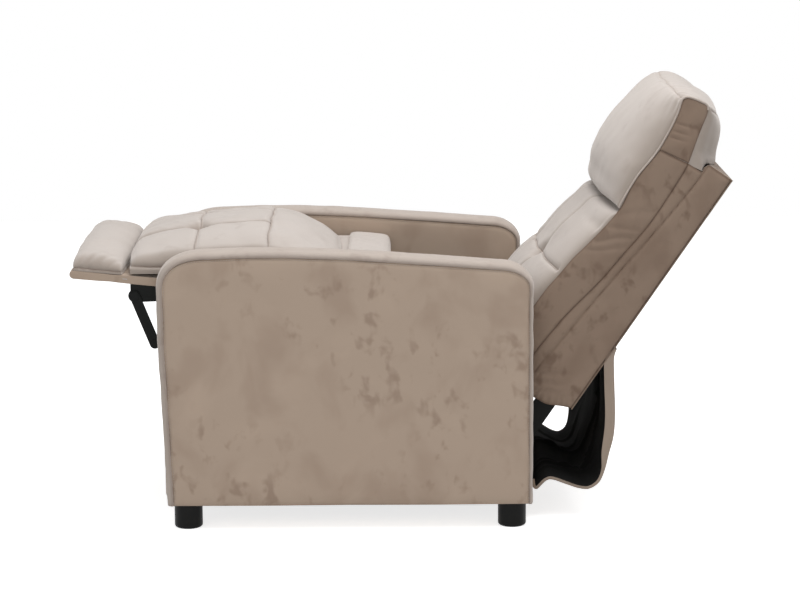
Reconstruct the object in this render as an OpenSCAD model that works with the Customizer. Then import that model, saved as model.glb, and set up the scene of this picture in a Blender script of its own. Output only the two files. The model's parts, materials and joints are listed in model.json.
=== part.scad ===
// Push-back reclining armchair, reclined with its footrest out. Millimetres.
// The chair faces -Y, +Z is up, and the origin is on the floor at the middle of its box.
// Side outlines are pairs of [y, z] with y = 0 at the front edge of the arms.

/* [Arms] */
// Length of an arm, front to rear
arm_len = 790; // [760:1:830]
// Height of an arm's crest above the floor
arm_top = 601; // [590:1:630]
// Thickness of an arm across the chair
arm_w = 75; // [68:1:100]
// Clear width between the two arms
seat_gap = 530; // [500:1:600]
// Thickness of the padded panels on both sides of an arm
arm_pad = 12; // [8:1:16]
// Thickness of the boxing strip over the front, top and rear of an arm
boxing_t = 12; // [8:1:16]
// Height above the floor at which the inner panel's padding starts
inner_pad_z = 300; // [290:1:330]
// Set-back of an arm's lower front corner
arm_rake = 15; // [0:1:20]

/* [Feet] */
// Height of a foot
foot_h = 55; // [50:1:60]
// Diameter of a foot
foot_d = 60; // [50:1:64]
// Rounding of a foot's lower edge
foot_round = 6; // [2:1:10]
// Distance of a foot's centre from the arm's end
foot_inset = 56; // [40:1:80]

/* [Seat] */
// Front edge of the seat cushion, measured from the front of the arms
seat_front = -70; // [-74:1:-60]
// Length of the seat cushion
seat_len = 465; // [440:1:465]
// Height of the seat cushion's underside
seat_z = 541.8; // [541:0.1:546]
// Thickness of the seat cushion at its crest
seat_h = 90; // [70:1:105]
// Depth of the rails of the seat frame
seat_rail_h = 60; // [45:1:70]
// Set-back of the seat frame's front face from the cushion's front edge
seat_frame_inset = 90; // [88:1:110]
// Reach of the seat frame behind the cushion's rear edge
seat_frame_reach = 85; // [65:1:87]
// Width of the channel between two lengthwise seams
seam_gap = 180; // [150:1:220]

/* [Footrest] */
// Length of the footrest board
board_len = 197; // [180:1:205]
// Thickness of the footrest board with its cover
board_t = 18; // [14:1:18]
// Upward tilt of the board towards its front edge
board_tilt = 5.65; // [3:0.05:7]
// Length of the foot pad along the board
foot_pad_len = 116; // [100:1:117]
// Height of the foot pad's crest above the board
foot_pad_h = 50; // [40:1:62]

/* [Back] */
// Height of the back shell along its rear face
back_h = 593; // [560:1:620]
// Depth of the back from its rear face to the cushion's crest
back_d = 260; // [235:1:260]
// Lean of the back's rear face from upright
back_tilt = 34.33; // [30:0.1:36]
// Padding of the side covers
side_cover_t = 10; // [6:1:12]
// Depth of the back's wooden uprights
upright_d = 78; // [60:1:80]

/* [Mechanism] */
// Front swing pivot, behind the front of the arms
swing_y = 200; // [190:1:205]
// Height of the swing pivots above the floor
swing_z = 250; // [245:1:255]
// Distance between the front and the rear swing pivots
swing_span = 170; // [150:1:200]
// Distance between the two pivots of a swing link
swing_len = 128; // [120:1:132]
// Lean of the swing links from upright, towards the rear
swing_lean = 21.3; // [18:0.1:24]
// Back hinge, ahead of the rear end of the arms
back_pivot_inset = 40; // [35:1:45]
// Height of the back hinge above the floor
back_pivot_z = 150; // [145:1:165]
// Distance between the two pivots of a footrest crank
crank_len = 57; // [50:1:60]
// Distance from the footrest hinge to the crank's hinge
crank_drop = 111; // [100:1:120]
// Thickness of the steel plates and links
plate_t = 3; // [2:0.5:3]

/* [Hidden] */

$fn = 48;
overrun = 1;
soft_gap = 0.3;
run_gap = 0.05;
open_pivot_gap = 0.6;
layer_gap = 1;

// Layers of the mechanism, counted inwards from the arm's inner face
half_gap = seat_gap / 2;
pin_head_t = 1.6;
head_gap = 2;
rail_x = half_gap - plate_t;
link_x = rail_x - head_gap - plate_t;
crank_x = link_x - layer_gap - plate_t;
carriage_x = crank_x - layer_gap - plate_t;
seat_side_gap = 10;
back_side_gap = 9;
seat_half = half_gap - seat_side_gap;
back_half = half_gap - back_side_gap;

// Radii of the pins, their heads and the links
pin_r = 5;
head_r = 9;
tube_r = 8;
bolt_r = 4;
bolt_head_r = 7;
bolt_head_t = 3;
bolt_grip = 20;
link_w = 24;
slant_w = 22;
crank_w = 20;

// Front and rear face of the seat frame
seat_frame_front = seat_front + seat_frame_inset;
seat_frame_rear = seat_front + seat_len + seat_frame_reach;

// Places of the pivots
swing_base = [swing_y, swing_z];
swing_back = swing_base + [swing_span, 0];
swing_vec = swing_len * [sin(swing_lean), cos(swing_lean)];
swing_top = swing_base + swing_vec;
swing_back_top = swing_back + swing_vec;
back_pivot = [arm_len - back_pivot_inset, back_pivot_z];
fold_drop = 44.8;
fold_back = 5;
fold_pivot = [fold_back, seat_z - fold_drop];
crank_lean = 21.5;
crank_dip = 2;
crank_pivot = fold_pivot + crank_drop * [sin(crank_lean), -cos(crank_lean)];
crank_vec = crank_len * [-cos(crank_dip), -sin(crank_dip)];
fold_pin = fold_pivot + crank_vec;
crank_pin = crank_pivot + crank_vec;

// Base: front panel, rear rail, cross tube, dust cover and bolts
base_lift = 2;
base_bottom = foot_h + base_lift;
front_panel_y = 5;
front_panel_t = 25;
front_panel_h = 133;
front_panel_round = 8;
rear_rail_t = 25;
rear_rail_h = 60;
dust_cover_t = 1.5;
cross_tube_r = 10;
cross_tube_shift = [40, 45];
cross_tube_at = swing_base - cross_tube_shift;
base_rail_w = 34;
base_rail_end_r = 14;
rail_bolt_shares = [0.2, 0.5, 0.8];
stud_low = 15;
stud_grip = 30;
stud_high = foot_h + stud_grip;
rear_foot_shift = 14;

// Back: its lower rear corner at rest, and the lengths of its frame
back_corner_up = 94;
back_corner_out = 126;
back_corner = back_pivot + [back_corner_out, back_corner_up];
cover_t = 6;
cover_gap = 2;
upright_w = 25;
upright_in = 9;
upright_top_share = 0.944;
back_rail_h = 45;
top_rail_d = 38;
webbing_w = 50;
webbing_t = 2;
seat_straps = 5;
back_straps = 6;
seat_rail_w = 25;
bracket_t = 4;
bracket_w = 44;
bracket_reach = 110;
bracket_bolt_places = [25, 60, 95];

function lerp(a, b, t) = a + (b - a) * t;
function reversed(v) = [for (i = [len(v) - 1:-1:0]) v[i]];
function scaled(shares, size, at = [0, 0]) =
  [for (s = shares) [at[0] + s[0] * size[0], at[1] + s[1] * size[1]]];
function bell(d, w) = exp(-pow(d / w, 2));

// Rounded corner: part of a superellipse with power p, from angle a to angle b
function corner(c, r, a, b, p, steps = 8) = [
  for (i = [0:steps]) let (t = lerp(a, b, i / steps))
    c + [r[0] * sign(cos(t)) * pow(abs(cos(t)), 2 / p), r[1] * sign(sin(t)) * pow(abs(sin(t)), 2 / p)]
];

// Smooth curve through the points of an open list, with so many steps between two points
function curve(v, steps) = concat([
  for (i = [0:len(v) - 2], k = [0:steps - 1])
    let (
      a = v[max(i - 1, 0)], b = v[i], c = v[i + 1], d = v[min(i + 2, len(v) - 1)], t = k / steps
    )
    0.5 * (2 * b + (c - a) * t + (2 * a - 5 * b + 4 * c - d) * t * t + (3 * b - 3 * c + d - a) * t * t * t)
], [v[len(v) - 1]]);

// Side outline of an arm, drawn in by an inset all round but at the bottom
arm_shoulder = 86;
arm_front_round = [113, 84];
arm_rear_round = [71, 52];
arm_rear_drop = 80;
arm_knee = 189;
arm_crest_shares = [[0.22, 1], [0.33, 1], [0.49, 0.993], [0.65, 0.979], [0.78, 0.967]];
function arm_outline(inset) = concat(
  [[arm_rake + inset, foot_h], [inset, arm_top - arm_knee]],
  corner([arm_front_round[0], arm_top - arm_shoulder], arm_front_round - [inset, inset], 180, 90, 2.5),
  [for (s = arm_crest_shares) [s[0] * arm_len, s[1] * arm_top - inset]],
  corner([arm_len - arm_rear_round[0], arm_top - arm_rear_drop], arm_rear_round - [inset, inset], 90, 0, 2),
  [[arm_len - inset, foot_h]]
);

// Outlines of the soft pieces, as shares of each piece's length and height.
// The first list is the middle of the piece, the second its drawn-in end.
seat_mid_shares = [
  [0.012, 0], [0, 0.137], [0.012, 0.411], [0.055, 0.651], [0.179, 0.829], [0.325, 0.929], [0.491, 0.985],
  [0.659, 1], [0.779, 0.846], [0.875, 0.579], [0.93, 0.377], [0.965, 0.229], [0.985, 0.114], [0.985, 0]
];
seat_end_shares = [
  [0.035, 0.01], [0.02, 0.16], [0.03, 0.229], [0.08, 0.286], [0.19, 0.343], [0.33, 0.389], [0.49, 0.423],
  [0.65, 0.423], [0.77, 0.32], [0.84, 0.206], [0.88, 0.114], [0.9, 0.069], [0.915, 0.04], [0.915, 0.01]
];
pad_mid_shares = [
  [0.02, 0], [0, 0.3], [0.05, 0.68], [0.18, 0.9], [0.4, 1], [0.65, 0.97], [0.85, 0.8], [0.97, 0.5], [0.98, 0]
];
pad_end_shares = [
  [0.08, 0.06], [0.05, 0.22], [0.09, 0.39], [0.2, 0.51], [0.4, 0.56], [0.64, 0.53], [0.82, 0.46],
  [0.92, 0.31], [0.94, 0.06]
];
roll_mid_shares = [
  [0.01, 0], [0, 0.5], [0.05, 0.88], [0.17, 1], [0.34, 0.94], [0.64, 0.6], [0.86, 0.19], [0.97, -0.31],
  [1, -1.19], [0.99, -2.38]
];
roll_end_shares = [
  [0.03, 0.04], [0.02, 0.19], [0.07, 0.31], [0.18, 0.38], [0.34, 0.34], [0.62, 0.22], [0.84, 0.06],
  [0.94, -0.31], [0.97, -1.19], [0.96, -2.2]
];
cushion_mid_shares = [
  [0.518, -0.032], [0.635, -0.02], [0.769, 0.017], [0.898, 0.086], [0.957, 0.172], [0.968, 0.24],
  [0.948, 0.317], [0.905, 0.386], [0.88, 0.452], [0.865, 0.514], [0.82, 0.596], [0.775, 0.657],
  [0.625, 0.694]
];
cushion_end_shares = [
  [0.518, -0.024], [0.58, -0.015], [0.64, 0.008], [0.695, 0.067], [0.728, 0.152], [0.74, 0.22], [0.735, 0.31],
  [0.715, 0.38], [0.7, 0.45], [0.67, 0.52], [0.638, 0.594], [0.618, 0.66], [0.58, 0.694]
];
cushion_top_shares = [[0.62, 0.8], [0.61, 0.935], [0.36, 0.945]];
cushion_top_end_shares = [[0.58, 0.8], [0.575, 0.93], [0.36, 0.94]];
shell_front_shares = [
  [0.356, 0.953], [0.348, 0.88], [0.342, 0.718], [0.375, 0.563], [0.41, 0.428], [0.476, 0.272],
  [0.515, 0.091], [0.515, -0.034]
];
shell_rear_shares = [
  [0.385, -0.047], [0.308, -0.042], [0.188, -0.037], [0.077, -0.013], [0, 0], [0, 1], [0.18, 1],
  [0.215, 0.957]
];
headrest_mid_shares = [
  [0.645, 0.706], [0.78, 0.692], [0.845, 0.71], [0.888, 0.748], [0.94, 0.791], [0.972, 0.858],
  [0.976, 0.95], [0.944, 1.037], [0.9, 1.1], [0.83, 1.144], [0.755, 1.166], [0.632, 1.187],
  [0.446, 1.194], [0.319, 1.171], [0.225, 1.138], [0.165, 1.1], [0.12, 1.055], [0.065, 1.014]
];
headrest_end_shares = [
  [0.612, 0.706], [0.62, 0.697], [0.63, 0.71], [0.637, 0.742], [0.645, 0.788], [0.647, 0.84], [0.63, 0.936],
  [0.646, 1.029], [0.67, 1.091], [0.7, 1.135], [0.69, 1.152], [0.655, 1.162], [0.58, 1.17],
  [0.505, 1.172], [0.47, 1.147], [0.446, 1.1], [0.423, 1.059], [0.4, 1.022]
];
headrest_seat_shares = [
  [0.077, 1.006], [0.18, 1.006], [0.222, 0.966], [0.358, 0.96], [0.638, 0.951], [0.636, 0.82]
];
headrest_seat_end_shares = [
  [0.396, 1.018], [0.38, 0.995], [0.366, 0.969], [0.366, 0.966], [0.608, 0.948], [0.608, 0.82]
];

// Sewn seams and tufts: their places along a piece as shares of its length, depth and width
seat_seam_shares = [0.348, 0.714];
cushion_seam_share = 0.39;
seam_depth = 6;
seam_width = 16;
tuft_depth = 12;
tuft_width = 26;
quilted_stations = 14;
plain_stations = 9;
function quilting(x, y, cross_seams, cross_width) =
  seam_depth * bell(abs(x) - seam_gap / 2, seam_width)
  + max([for (c = cross_seams) seam_depth * bell(y - c, cross_width)
         + tuft_depth * bell(norm([abs(x) - seam_gap / 2, y - c]), tuft_width)]);

// Reach of the whole chair, and the shift that puts its middle over the origin
board_end = fold_pivot[0] - (board_len - board_t / 2) * cos(board_tilt) - board_t / 2;
function back_point(p) = back_corner
  + [p[1] * sin(back_tilt) - p[0] * cos(back_tilt), p[1] * cos(back_tilt) + p[0] * sin(back_tilt)];
coarse_steps = 2;
fine_steps = 3;
headrest_line = curve(scaled(headrest_mid_shares, [back_d, back_h]), coarse_steps);
rear_end = max([for (p = headrest_line) back_point(p)[0]]);
mid_y = (board_end + rear_end) / 2;

// Puts a piece that was drawn from the arms' front edge into place
module placed() translate([0, -mid_y, 0]) children();

// Prism across the chair with a side outline, from x to x + w
module across(x, w) translate([x, 0, 0]) rotate([90, 0, 90]) linear_extrude(w) children();

// The same piece on the left or the right side: the chair's left is at -X
module side(left) mirror([left ? 1 : 0, 0, 0]) children();

// Round bar along X through a side point
module pin(at, r, x, w) translate([x, at[0], at[1]]) rotate([0, 90, 0]) cylinder(r = r, h = w);

// Flat bar with round ends between two side points
module bar(a, b, w) {
  d = b - a;
  translate(a) rotate(atan2(d[1], d[0])) {
    translate([0, -w / 2]) square([norm(d), w]);
    for (y = [0, norm(d)]) translate([y, 0]) circle(d = w);
  }
}

// Frame of the back: Y runs to the rear from its rear face, Z up along it
module on_back() placed() translate([0, back_corner[0], back_corner[1]])
  rotate([-back_tilt, 0, 0]) children();

// Frame of the board: Y runs to the rear, Z up from its underside's line, origin at its rear end
board_rise = 25.5;
module on_board() placed() translate([0, fold_pivot[0], fold_pivot[1] + board_rise])
  rotate([-board_tilt, 0, 0]) children();

// Soft piece: rings of one outline across the chair, drawn in towards both ends.
// mid and end are open lists that the curve rounds, and seat and seat_end close them flat.
// dip gives how deep the quilting pulls a point in, and end_power how square the ends are.
end_power = 2;
module stuffed(
  half_w, mid, end, seat, seat_end, steps, stations, dip = function (x, y) 0, along_y = true
) {
  xs = [for (i = [-stations:stations]) half_w * i / stations];
  function ring(x) =
    let (
      s = pow(1 - pow(min(abs(x / half_w), 1), end_power), 1 / end_power),
      front = curve([for (i = [0:len(mid) - 1]) lerp(end[i], mid[i], s)], steps),
      rest = [for (i = [0:1:len(seat) - 1]) lerp(seat_end[i], seat[i], s)]
    )
    concat(
      [for (i = [0:len(front) - 1])
        let (
          p = front[i], q = i == 0 || i == len(front) - 1 ? 0 : s * dip(x, along_y ? p[0] : p[1]),
          low = along_y ? min(q, max(p[1] - front[0][1], 0) / 2) : min(q, max(p[0] - front[0][0], 0) / 2)
        )
        along_y ? p - [0, low] : p - [low, 0]],
      rest
    );
  n = len(ring(0));
  points = [for (x = xs, p = ring(x)) [x, p[0], p[1]]];
  last = len(xs) - 1;
  faces = concat(
    [for (k = [0:last - 1], i = [0:n - 1], t = [0, 1])
      let (a = k * n + i, b = k * n + (i + 1) % n)
      t == 0 ? [a, b, b + n] : [a, b + n, a + n]],
    [[for (i = [n - 1:-1:0]) i]],
    [[for (i = [0:n - 1]) last * n + i]]
  );
  polyhedron(points, faces);
}

// Arms

module arm_core(left) color("burlywood") placed() side(left) difference() {
  union() {
    across(half_gap + arm_pad, arm_w - 2 * arm_pad) polygon(arm_outline(boxing_t));
    intersection() {
      across(half_gap, 2 * arm_pad) polygon(arm_outline(boxing_t));
      translate([half_gap, 0, foot_h]) cube([2 * arm_pad, arm_len, inner_pad_z - foot_h]);
    }
  }
  for (p = [swing_base, swing_back]) pin(p, pin_r + run_gap, half_gap - overrun, bolt_grip + 2 * overrun);
  for (p = rail_bolts_at()) pin(p, bolt_r + run_gap, half_gap - overrun, bolt_grip + 2 * overrun);
  for (y = feet_y) translate([foot_x, y, 0]) cylinder(r = bolt_r + run_gap, h = stud_high + overrun);
}

module arm_outer_panel(left) color("tan") placed() side(left)
  across(half_gap + arm_w - arm_pad, arm_pad) polygon(arm_outline(boxing_t));

module arm_inner_panel(left) color("tan") placed() side(left) intersection() {
  across(half_gap, arm_pad) polygon(arm_outline(boxing_t));
  translate([half_gap, 0, inner_pad_z]) cube([arm_pad, arm_len, arm_top]);
}

module arm_boxing(left) color("wheat") placed() side(left)
  across(half_gap, arm_w) polygon(concat(arm_outline(0), reversed(arm_outline(boxing_t))));

// Base

module front_panel() color("tan") placed()
  across(soft_gap - half_gap, seat_gap - 2 * soft_gap)
    translate([front_panel_y, base_bottom]) union() {
      translate([0, front_panel_round])
        square([front_panel_t, front_panel_h - 2 * front_panel_round]);
      translate([front_panel_round, 0]) square([front_panel_t - 2 * front_panel_round, front_panel_h]);
      for (y = [front_panel_round, front_panel_t - front_panel_round],
           z = [front_panel_round, front_panel_h - front_panel_round])
        translate([y, z]) circle(r = front_panel_round);
    }

module rear_rail() color("burlywood") placed()
  translate([soft_gap - half_gap, arm_len - rear_rail_t, base_bottom])
    cube([seat_gap - 2 * soft_gap, rear_rail_t, rear_rail_h]);

module dust_cover() color("dimgray") placed()
  translate([soft_gap - half_gap, front_panel_y + front_panel_t + soft_gap, base_bottom])
    cube([
      seat_gap - 2 * soft_gap,
      arm_len - rear_rail_t - front_panel_y - front_panel_t - 2 * soft_gap,
      dust_cover_t
    ]);

foot_x = half_gap + foot_d / 2;
feet_y = [foot_inset, arm_len - foot_inset + rear_foot_shift];
module foot(left, y) color("dimgray") placed() side(left) translate([foot_x, y, 0]) difference() {
  rotate_extrude() union() {
    square([foot_d / 2 - foot_round, foot_h]);
    translate([0, foot_round]) square([foot_d / 2, foot_h - foot_round]);
    translate([foot_d / 2 - foot_round, foot_round]) circle(r = foot_round);
  }
  translate([0, 0, stud_low]) cylinder(r = bolt_r + run_gap, h = foot_h);
}

module foot_studs() color("silver") placed()
  for (left = [true, false], y = feet_y) side(left)
    translate([foot_x, y, stud_low + run_gap]) cylinder(r = bolt_r, h = stud_high - stud_low);

function rail_bolts_at() = [for (s = rail_bolt_shares) lerp(swing_back, back_pivot, s)];
module base_rail(left) color("dimgray") placed() side(left)
  across(rail_x, plate_t) difference() {
    union() {
      bar(cross_tube_at, swing_base, base_rail_w);
      bar(swing_base, swing_back, base_rail_w);
      bar(swing_back, back_pivot, 2 * base_rail_end_r);
    }
    for (p = [swing_base, swing_back]) translate(p) circle(r = pin_r + run_gap);
    for (p = rail_bolts_at()) translate(p) circle(r = bolt_r + run_gap);
    translate(back_pivot) circle(r = tube_r + run_gap);
  }

module front_cross_tube() color("dimgray") placed() pin(cross_tube_at, cross_tube_r, -rail_x, 2 * rail_x);

module back_pivot_tube() color("dimgray") placed() pin(back_pivot, tube_r, -half_gap, 2 * half_gap);

module rail_bolts() color("silver") placed() for (left = [true, false], p = rail_bolts_at()) side(left) {
  pin(p, bolt_r, rail_x, plate_t + bolt_grip);
  pin(p, bolt_head_r, rail_x - bolt_head_t, bolt_head_t);
}

module base_pivot_pins() color("silver") placed()
  for (left = [true, false], p = [swing_base, swing_back]) side(left) {
    pin(p, pin_r, link_x - run_gap, half_gap - link_x + bolt_grip);
    pin(p, head_r, link_x + plate_t + run_gap, rail_x - link_x - plate_t - run_gap);
    pin(p, head_r, link_x - run_gap - layer_gap - plate_t / 2, layer_gap + plate_t / 2);
  }

// Loose fabric between the back and the rear rail. Its middle line is a list of places as shares
// of how far it hangs out behind the rail and of how high it is sewn to the back.
// It hangs further in at its left edge.
flap_side_gap = 15;
flap_half = half_gap - flap_side_gap;
flap_t = 3;
flap_seam_up = 160;
flap_stations = 6;
flap_wave = 4;
flap_waves = 2.5;
flap_pull = 40;
flap_out = 176;
flap_shares = [
  [0, 0.075], [0.015, 0.02], [0.07, 0], [0.18, 0.06], [0.26, 0.07], [0.42, 0.04], [0.58, 0.01], [0.71, 0.005],
  [0.83, 0.05], [0.9, 0.14], [0.945, 0.25], [1, 0.42], [1, 0.75], [1, 0.93]
];
module rear_flap() {
  top = back_point([-flap_t - soft_gap, flap_seam_up]);
  low = [arm_len + soft_gap + flap_t / 2, base_bottom + flap_t + flap_wave];
  line = curve(concat(scaled(flap_shares, [flap_out, top[1] - low[1]], low), [top]), coarse_steps);
  n = len(line);
  function tangent(i) = let (d = line[min(i + 1, n - 1)] - line[max(i - 1, 0)]) d / norm(d);
  function slack(i) = pow(sin(180 * i / (n - 1)), 2);
  function wave(i, x) = flap_wave * slack(i) * sin(180 * flap_waves * x / flap_half);
  function pulled(i, x) = line[i] - [flap_pull * slack(i) * (flap_half - x) / (2 * flap_half), 0];
  function ring(x) = concat(
    [for (i = [0:n - 1]) let (t = tangent(i)) pulled(i, x) + (wave(i, x) + flap_t / 2) * [-t[1], t[0]]],
    [for (i = [n - 1:-1:0]) let (t = tangent(i)) pulled(i, x) + (wave(i, x) - flap_t / 2) * [-t[1], t[0]]]
  );
  xs = [for (i = [-flap_stations:flap_stations]) flap_half * i / flap_stations];
  m = 2 * n;
  last = len(xs) - 1;
  cap = [for (i = [0:n - 2], t = [0, 1]) t == 0 ? [i, i + 1, m - 1 - i] : [i + 1, m - 2 - i, m - 1 - i]];
  color("tan") placed() polyhedron(
    [for (x = xs, p = ring(x)) [x, p[0], p[1]]],
    concat(
      [for (k = [0:last - 1], i = [0:m - 1], t = [0, 1])
        let (a = k * m + i, b = k * m + (i + 1) % m)
        t == 0 ? [a, b + m, b] : [a, a + m, b + m]],
      [for (f = cap) f],
      [for (f = cap) [for (i = [2:-1:0]) last * m + f[i]]]
    )
  );
}

// Swing links between the base and the carriage

module swing_link(left, low, high, high_gap) color("dimgray") placed() side(left)
  across(link_x, plate_t) difference() {
    bar(low, high, link_w);
    translate(low) circle(r = pin_r + run_gap);
    translate(high) circle(r = pin_r + high_gap);
  }
module swing_link_front(left) swing_link(left, swing_base, swing_top, run_gap);
module swing_link_rear(left) swing_link(left, swing_back, swing_back_top, open_pivot_gap);

// Carriage: side plates and the seat frame on them

seat_rail_top = seat_z - soft_gap - webbing_t;
module carriage_plate(left) color("dimgray") placed() side(left)
  across(carriage_x, plate_t) difference() {
    union() {
      polygon([
        fold_pivot + [head_r, head_r], fold_pivot + [-head_r, -head_r],
        crank_pivot + [-head_r - tube_r, -tube_r], crank_pivot + [0, -head_r - tube_r],
        swing_top + [0, -link_w / 2], swing_back_top + [0, -link_w / 2], swing_back_top + [link_w / 2, 0],
        [swing_back_top[0], seat_rail_top - plate_t],
        [seat_frame_front, seat_rail_top - plate_t]
      ]);
      for (p = [fold_pivot, crank_pivot, swing_top, swing_back_top]) translate(p) circle(d = link_w);
    }
    for (p = [fold_pivot, swing_top, swing_back_top]) translate(p) circle(r = pin_r + run_gap);
    translate(crank_pivot) circle(r = tube_r + run_gap);
  }

module carriage_pivot_pins() color("silver") placed() for (left = [true, false]) side(left) {
  for (p = [swing_top, swing_back_top]) {
    pin(p, pin_r, carriage_x, rail_x - carriage_x - plate_t / 2);
    pin(p, head_r, carriage_x + plate_t, link_x - carriage_x - plate_t - run_gap);
    pin(p, head_r, link_x + plate_t + run_gap, pin_head_t);
  }
  pin(fold_pivot, pin_r, carriage_x, crank_x + plate_t + run_gap - carriage_x);
  pin(fold_pivot, head_r, crank_x + plate_t + run_gap, pin_head_t);
}

module seat_side_rail(left) color("burlywood") placed() side(left)
  translate([carriage_x - seat_rail_w, seat_frame_front, seat_rail_top - seat_rail_h])
    cube([seat_rail_w, seat_frame_rear - seat_frame_front, seat_rail_h]);

module seat_cross_rails() color("burlywood") placed()
  for (y = [seat_frame_front, seat_frame_rear - seat_rail_w])
    translate([seat_rail_w - carriage_x, y, seat_rail_top - seat_rail_h])
      cube([2 * (carriage_x - seat_rail_w), seat_rail_w, seat_rail_h]);

module seat_webbing() color("dimgray") placed() for (i = [1:seat_straps])
  translate([
    lerp(-carriage_x, carriage_x, i / (seat_straps + 1)) - webbing_w / 2, seat_frame_front, seat_rail_top
  ])
    cube([webbing_w, seat_frame_rear - seat_frame_front, webbing_t]);

module seat_cushion() color("linen") placed()
  let (
    size = [seat_len, seat_h], at = [seat_front, seat_z],
    seams = [for (s = seat_seam_shares) seat_front + s * seat_len]
  )
  stuffed(
    seat_half, scaled(seat_mid_shares, size, at), scaled(seat_end_shares, size, at), [], [],
    fine_steps, quilted_stations, dip = function (x, y) quilting(x, y, seams, seam_width)
  );

roll_len = 95;
roll_h = 16;
roll_gap = 2;
module seat_rear_roll() color("linen") placed()
  let (
    size = [roll_len, roll_h], at = [seat_front + seat_len + roll_gap, seat_z],
    mid = scaled(roll_mid_shares, size, at), end = scaled(roll_end_shares, size, at),
    inner_y = seat_frame_rear + soft_gap, low = len(mid) - 1
  )
  stuffed(
    seat_half, mid, end,
    [[inner_y, mid[low][1]], [inner_y, seat_z]], [[inner_y, end[low][1]], [inner_y, seat_z]],
    coarse_steps, plain_stations
  );

// Footrest: board, pad, brackets, slanting links and cranks

module footrest_board() color("tan") on_board()
  across(-seat_half, 2 * seat_half) {
    translate([board_t / 2 - board_len, -board_t / 2]) square([board_len - board_t / 2, board_t]);
    translate([board_t / 2 - board_len, 0]) circle(d = board_t);
  }

foot_pad_back = 79;
module foot_pad() color("linen") on_board()
  let (size = [foot_pad_len, foot_pad_h], at = [-foot_pad_back - foot_pad_len, board_t / 2 + soft_gap])
  stuffed(
    seat_half, scaled(pad_mid_shares, size, at), scaled(pad_end_shares, size, at), [], [],
    fine_steps, plain_stations
  );

bracket_front = 66;
bracket_low = 14;
function board_under(back) = fold_pivot
  + [-back, board_rise + back * tan(board_tilt) - board_t / 2 / cos(board_tilt)];
module footrest_bracket(left) color("dimgray") placed() side(left)
  across(crank_x, plate_t) difference() {
    union() {
      polygon([
        board_under(0), board_under(bracket_front), fold_pivot + [-bracket_front, 0],
        fold_pin + [0, -bracket_low], fold_pivot + [0, -bracket_low]
      ]);
      for (p = [fold_pivot, fold_pin]) translate(p) circle(r = bracket_low);
    }
    translate(fold_pivot) circle(r = pin_r + run_gap);
    translate(fold_pin) circle(r = pin_r + run_gap);
  }

module link_pins(at) for (left = [true, false]) side(left) {
  pin(at, pin_r, crank_x, link_x + plate_t + run_gap - crank_x);
  pin(at, head_r, link_x + plate_t + run_gap, pin_head_t);
}
module footrest_pivot_pins() color("silver") placed() link_pins(fold_pin);
module crank_pins() color("silver") placed() link_pins(crank_pin);

module slanting_link(left) color("dimgray") placed() side(left)
  across(link_x, plate_t) difference() {
    bar(fold_pin, crank_pin, slant_w);
    translate(fold_pin) circle(r = pin_r + run_gap);
    translate(crank_pin) circle(r = pin_r + open_pivot_gap);
  }

module crank_tube() color("dimgray") placed()
  pin(crank_pivot, tube_r, -crank_x - plate_t, 2 * (crank_x + plate_t));

module crank(left) color("dimgray") placed() side(left)
  across(crank_x, plate_t) difference() {
    union() {
      bar(crank_pivot, crank_pin, crank_w);
      translate(crank_pivot) circle(r = tube_r + plate_t);
    }
    translate(crank_pivot) circle(r = tube_r + run_gap);
    translate(crank_pin) circle(r = pin_r + run_gap);
  }

// Back

back_side_x = back_half - side_cover_t;
upright_x = back_side_x - bracket_t - plate_t - cover_gap - upright_w;
upright_top = upright_top_share * back_h;
upright_low = 15;

module back_upright(left) color("burlywood") on_back() side(left) difference() {
  translate([upright_x, -upright_in - upright_d, upright_low])
    cube([upright_w, upright_d, upright_top - upright_low]);
  for (z = bracket_bolt_places)
    pin([-back_hinge[0], z], bolt_r + run_gap, upright_x - overrun, upright_w + 2 * overrun);
}

module back_cross_rails() color("burlywood") on_back() {
  translate([soft_gap - back_side_x, -upright_in - top_rail_d, upright_top])
    cube([2 * (back_side_x - soft_gap), top_rail_d, back_h - upright_top - overrun]);
  translate([-upright_x, -upright_in - upright_d, upright_low]) cube([2 * upright_x, upright_d, back_rail_h]);
}

module back_webbing() color("dimgray") on_back() for (i = [1:back_straps])
  translate([
    -upright_x - upright_w, -upright_in - upright_d - webbing_t,
    lerp(upright_low, upright_top, i / (back_straps + 1)) - webbing_w / 2
  ])
    cube([2 * (upright_x + upright_w), webbing_t, webbing_w]);

module back_rear_cover() color("tan") on_back()
  translate([soft_gap - back_side_x, -cover_t, 0]) cube([2 * (back_side_x - soft_gap), cover_t, back_h]);

// Side outlines of the back are pairs of [depth from the rear face, height along it]
function back_outline(shares) = [for (p = scaled(shares, [back_d, back_h])) [-p[0], p[1]]];

module back_side_cover(left) color("tan") on_back() side(left)
  across(back_side_x, side_cover_t) polygon(back_outline(concat(shell_rear_shares, shell_front_shares)));

module turned_to_rear() mirror([0, 1, 0]) children();

module back_cushion() color("linen") on_back() turned_to_rear()
  let (
    size = [back_d, back_h], seam = scaled(shell_front_shares, size),
    behind = [for (i = [1:len(seam) - 2]) seam[i] + [soft_gap, 0]]
  )
  stuffed(
    back_half, scaled(cushion_mid_shares, size), scaled(cushion_end_shares, size),
    concat(scaled(cushion_top_shares, size), behind), concat(scaled(cushion_top_end_shares, size), behind),
    coarse_steps, quilted_stations,
    dip = function (x, z) quilting(x, z, [cushion_seam_share * back_h], seam_width), along_y = false
  );

module headrest() color("linen") on_back() turned_to_rear()
  let (size = [back_d, back_h])
  stuffed(
    back_half, scaled(headrest_mid_shares, size), scaled(headrest_end_shares, size),
    scaled(headrest_seat_shares, size), scaled(headrest_seat_end_shares, size),
    coarse_steps, plain_stations
  );

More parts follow.
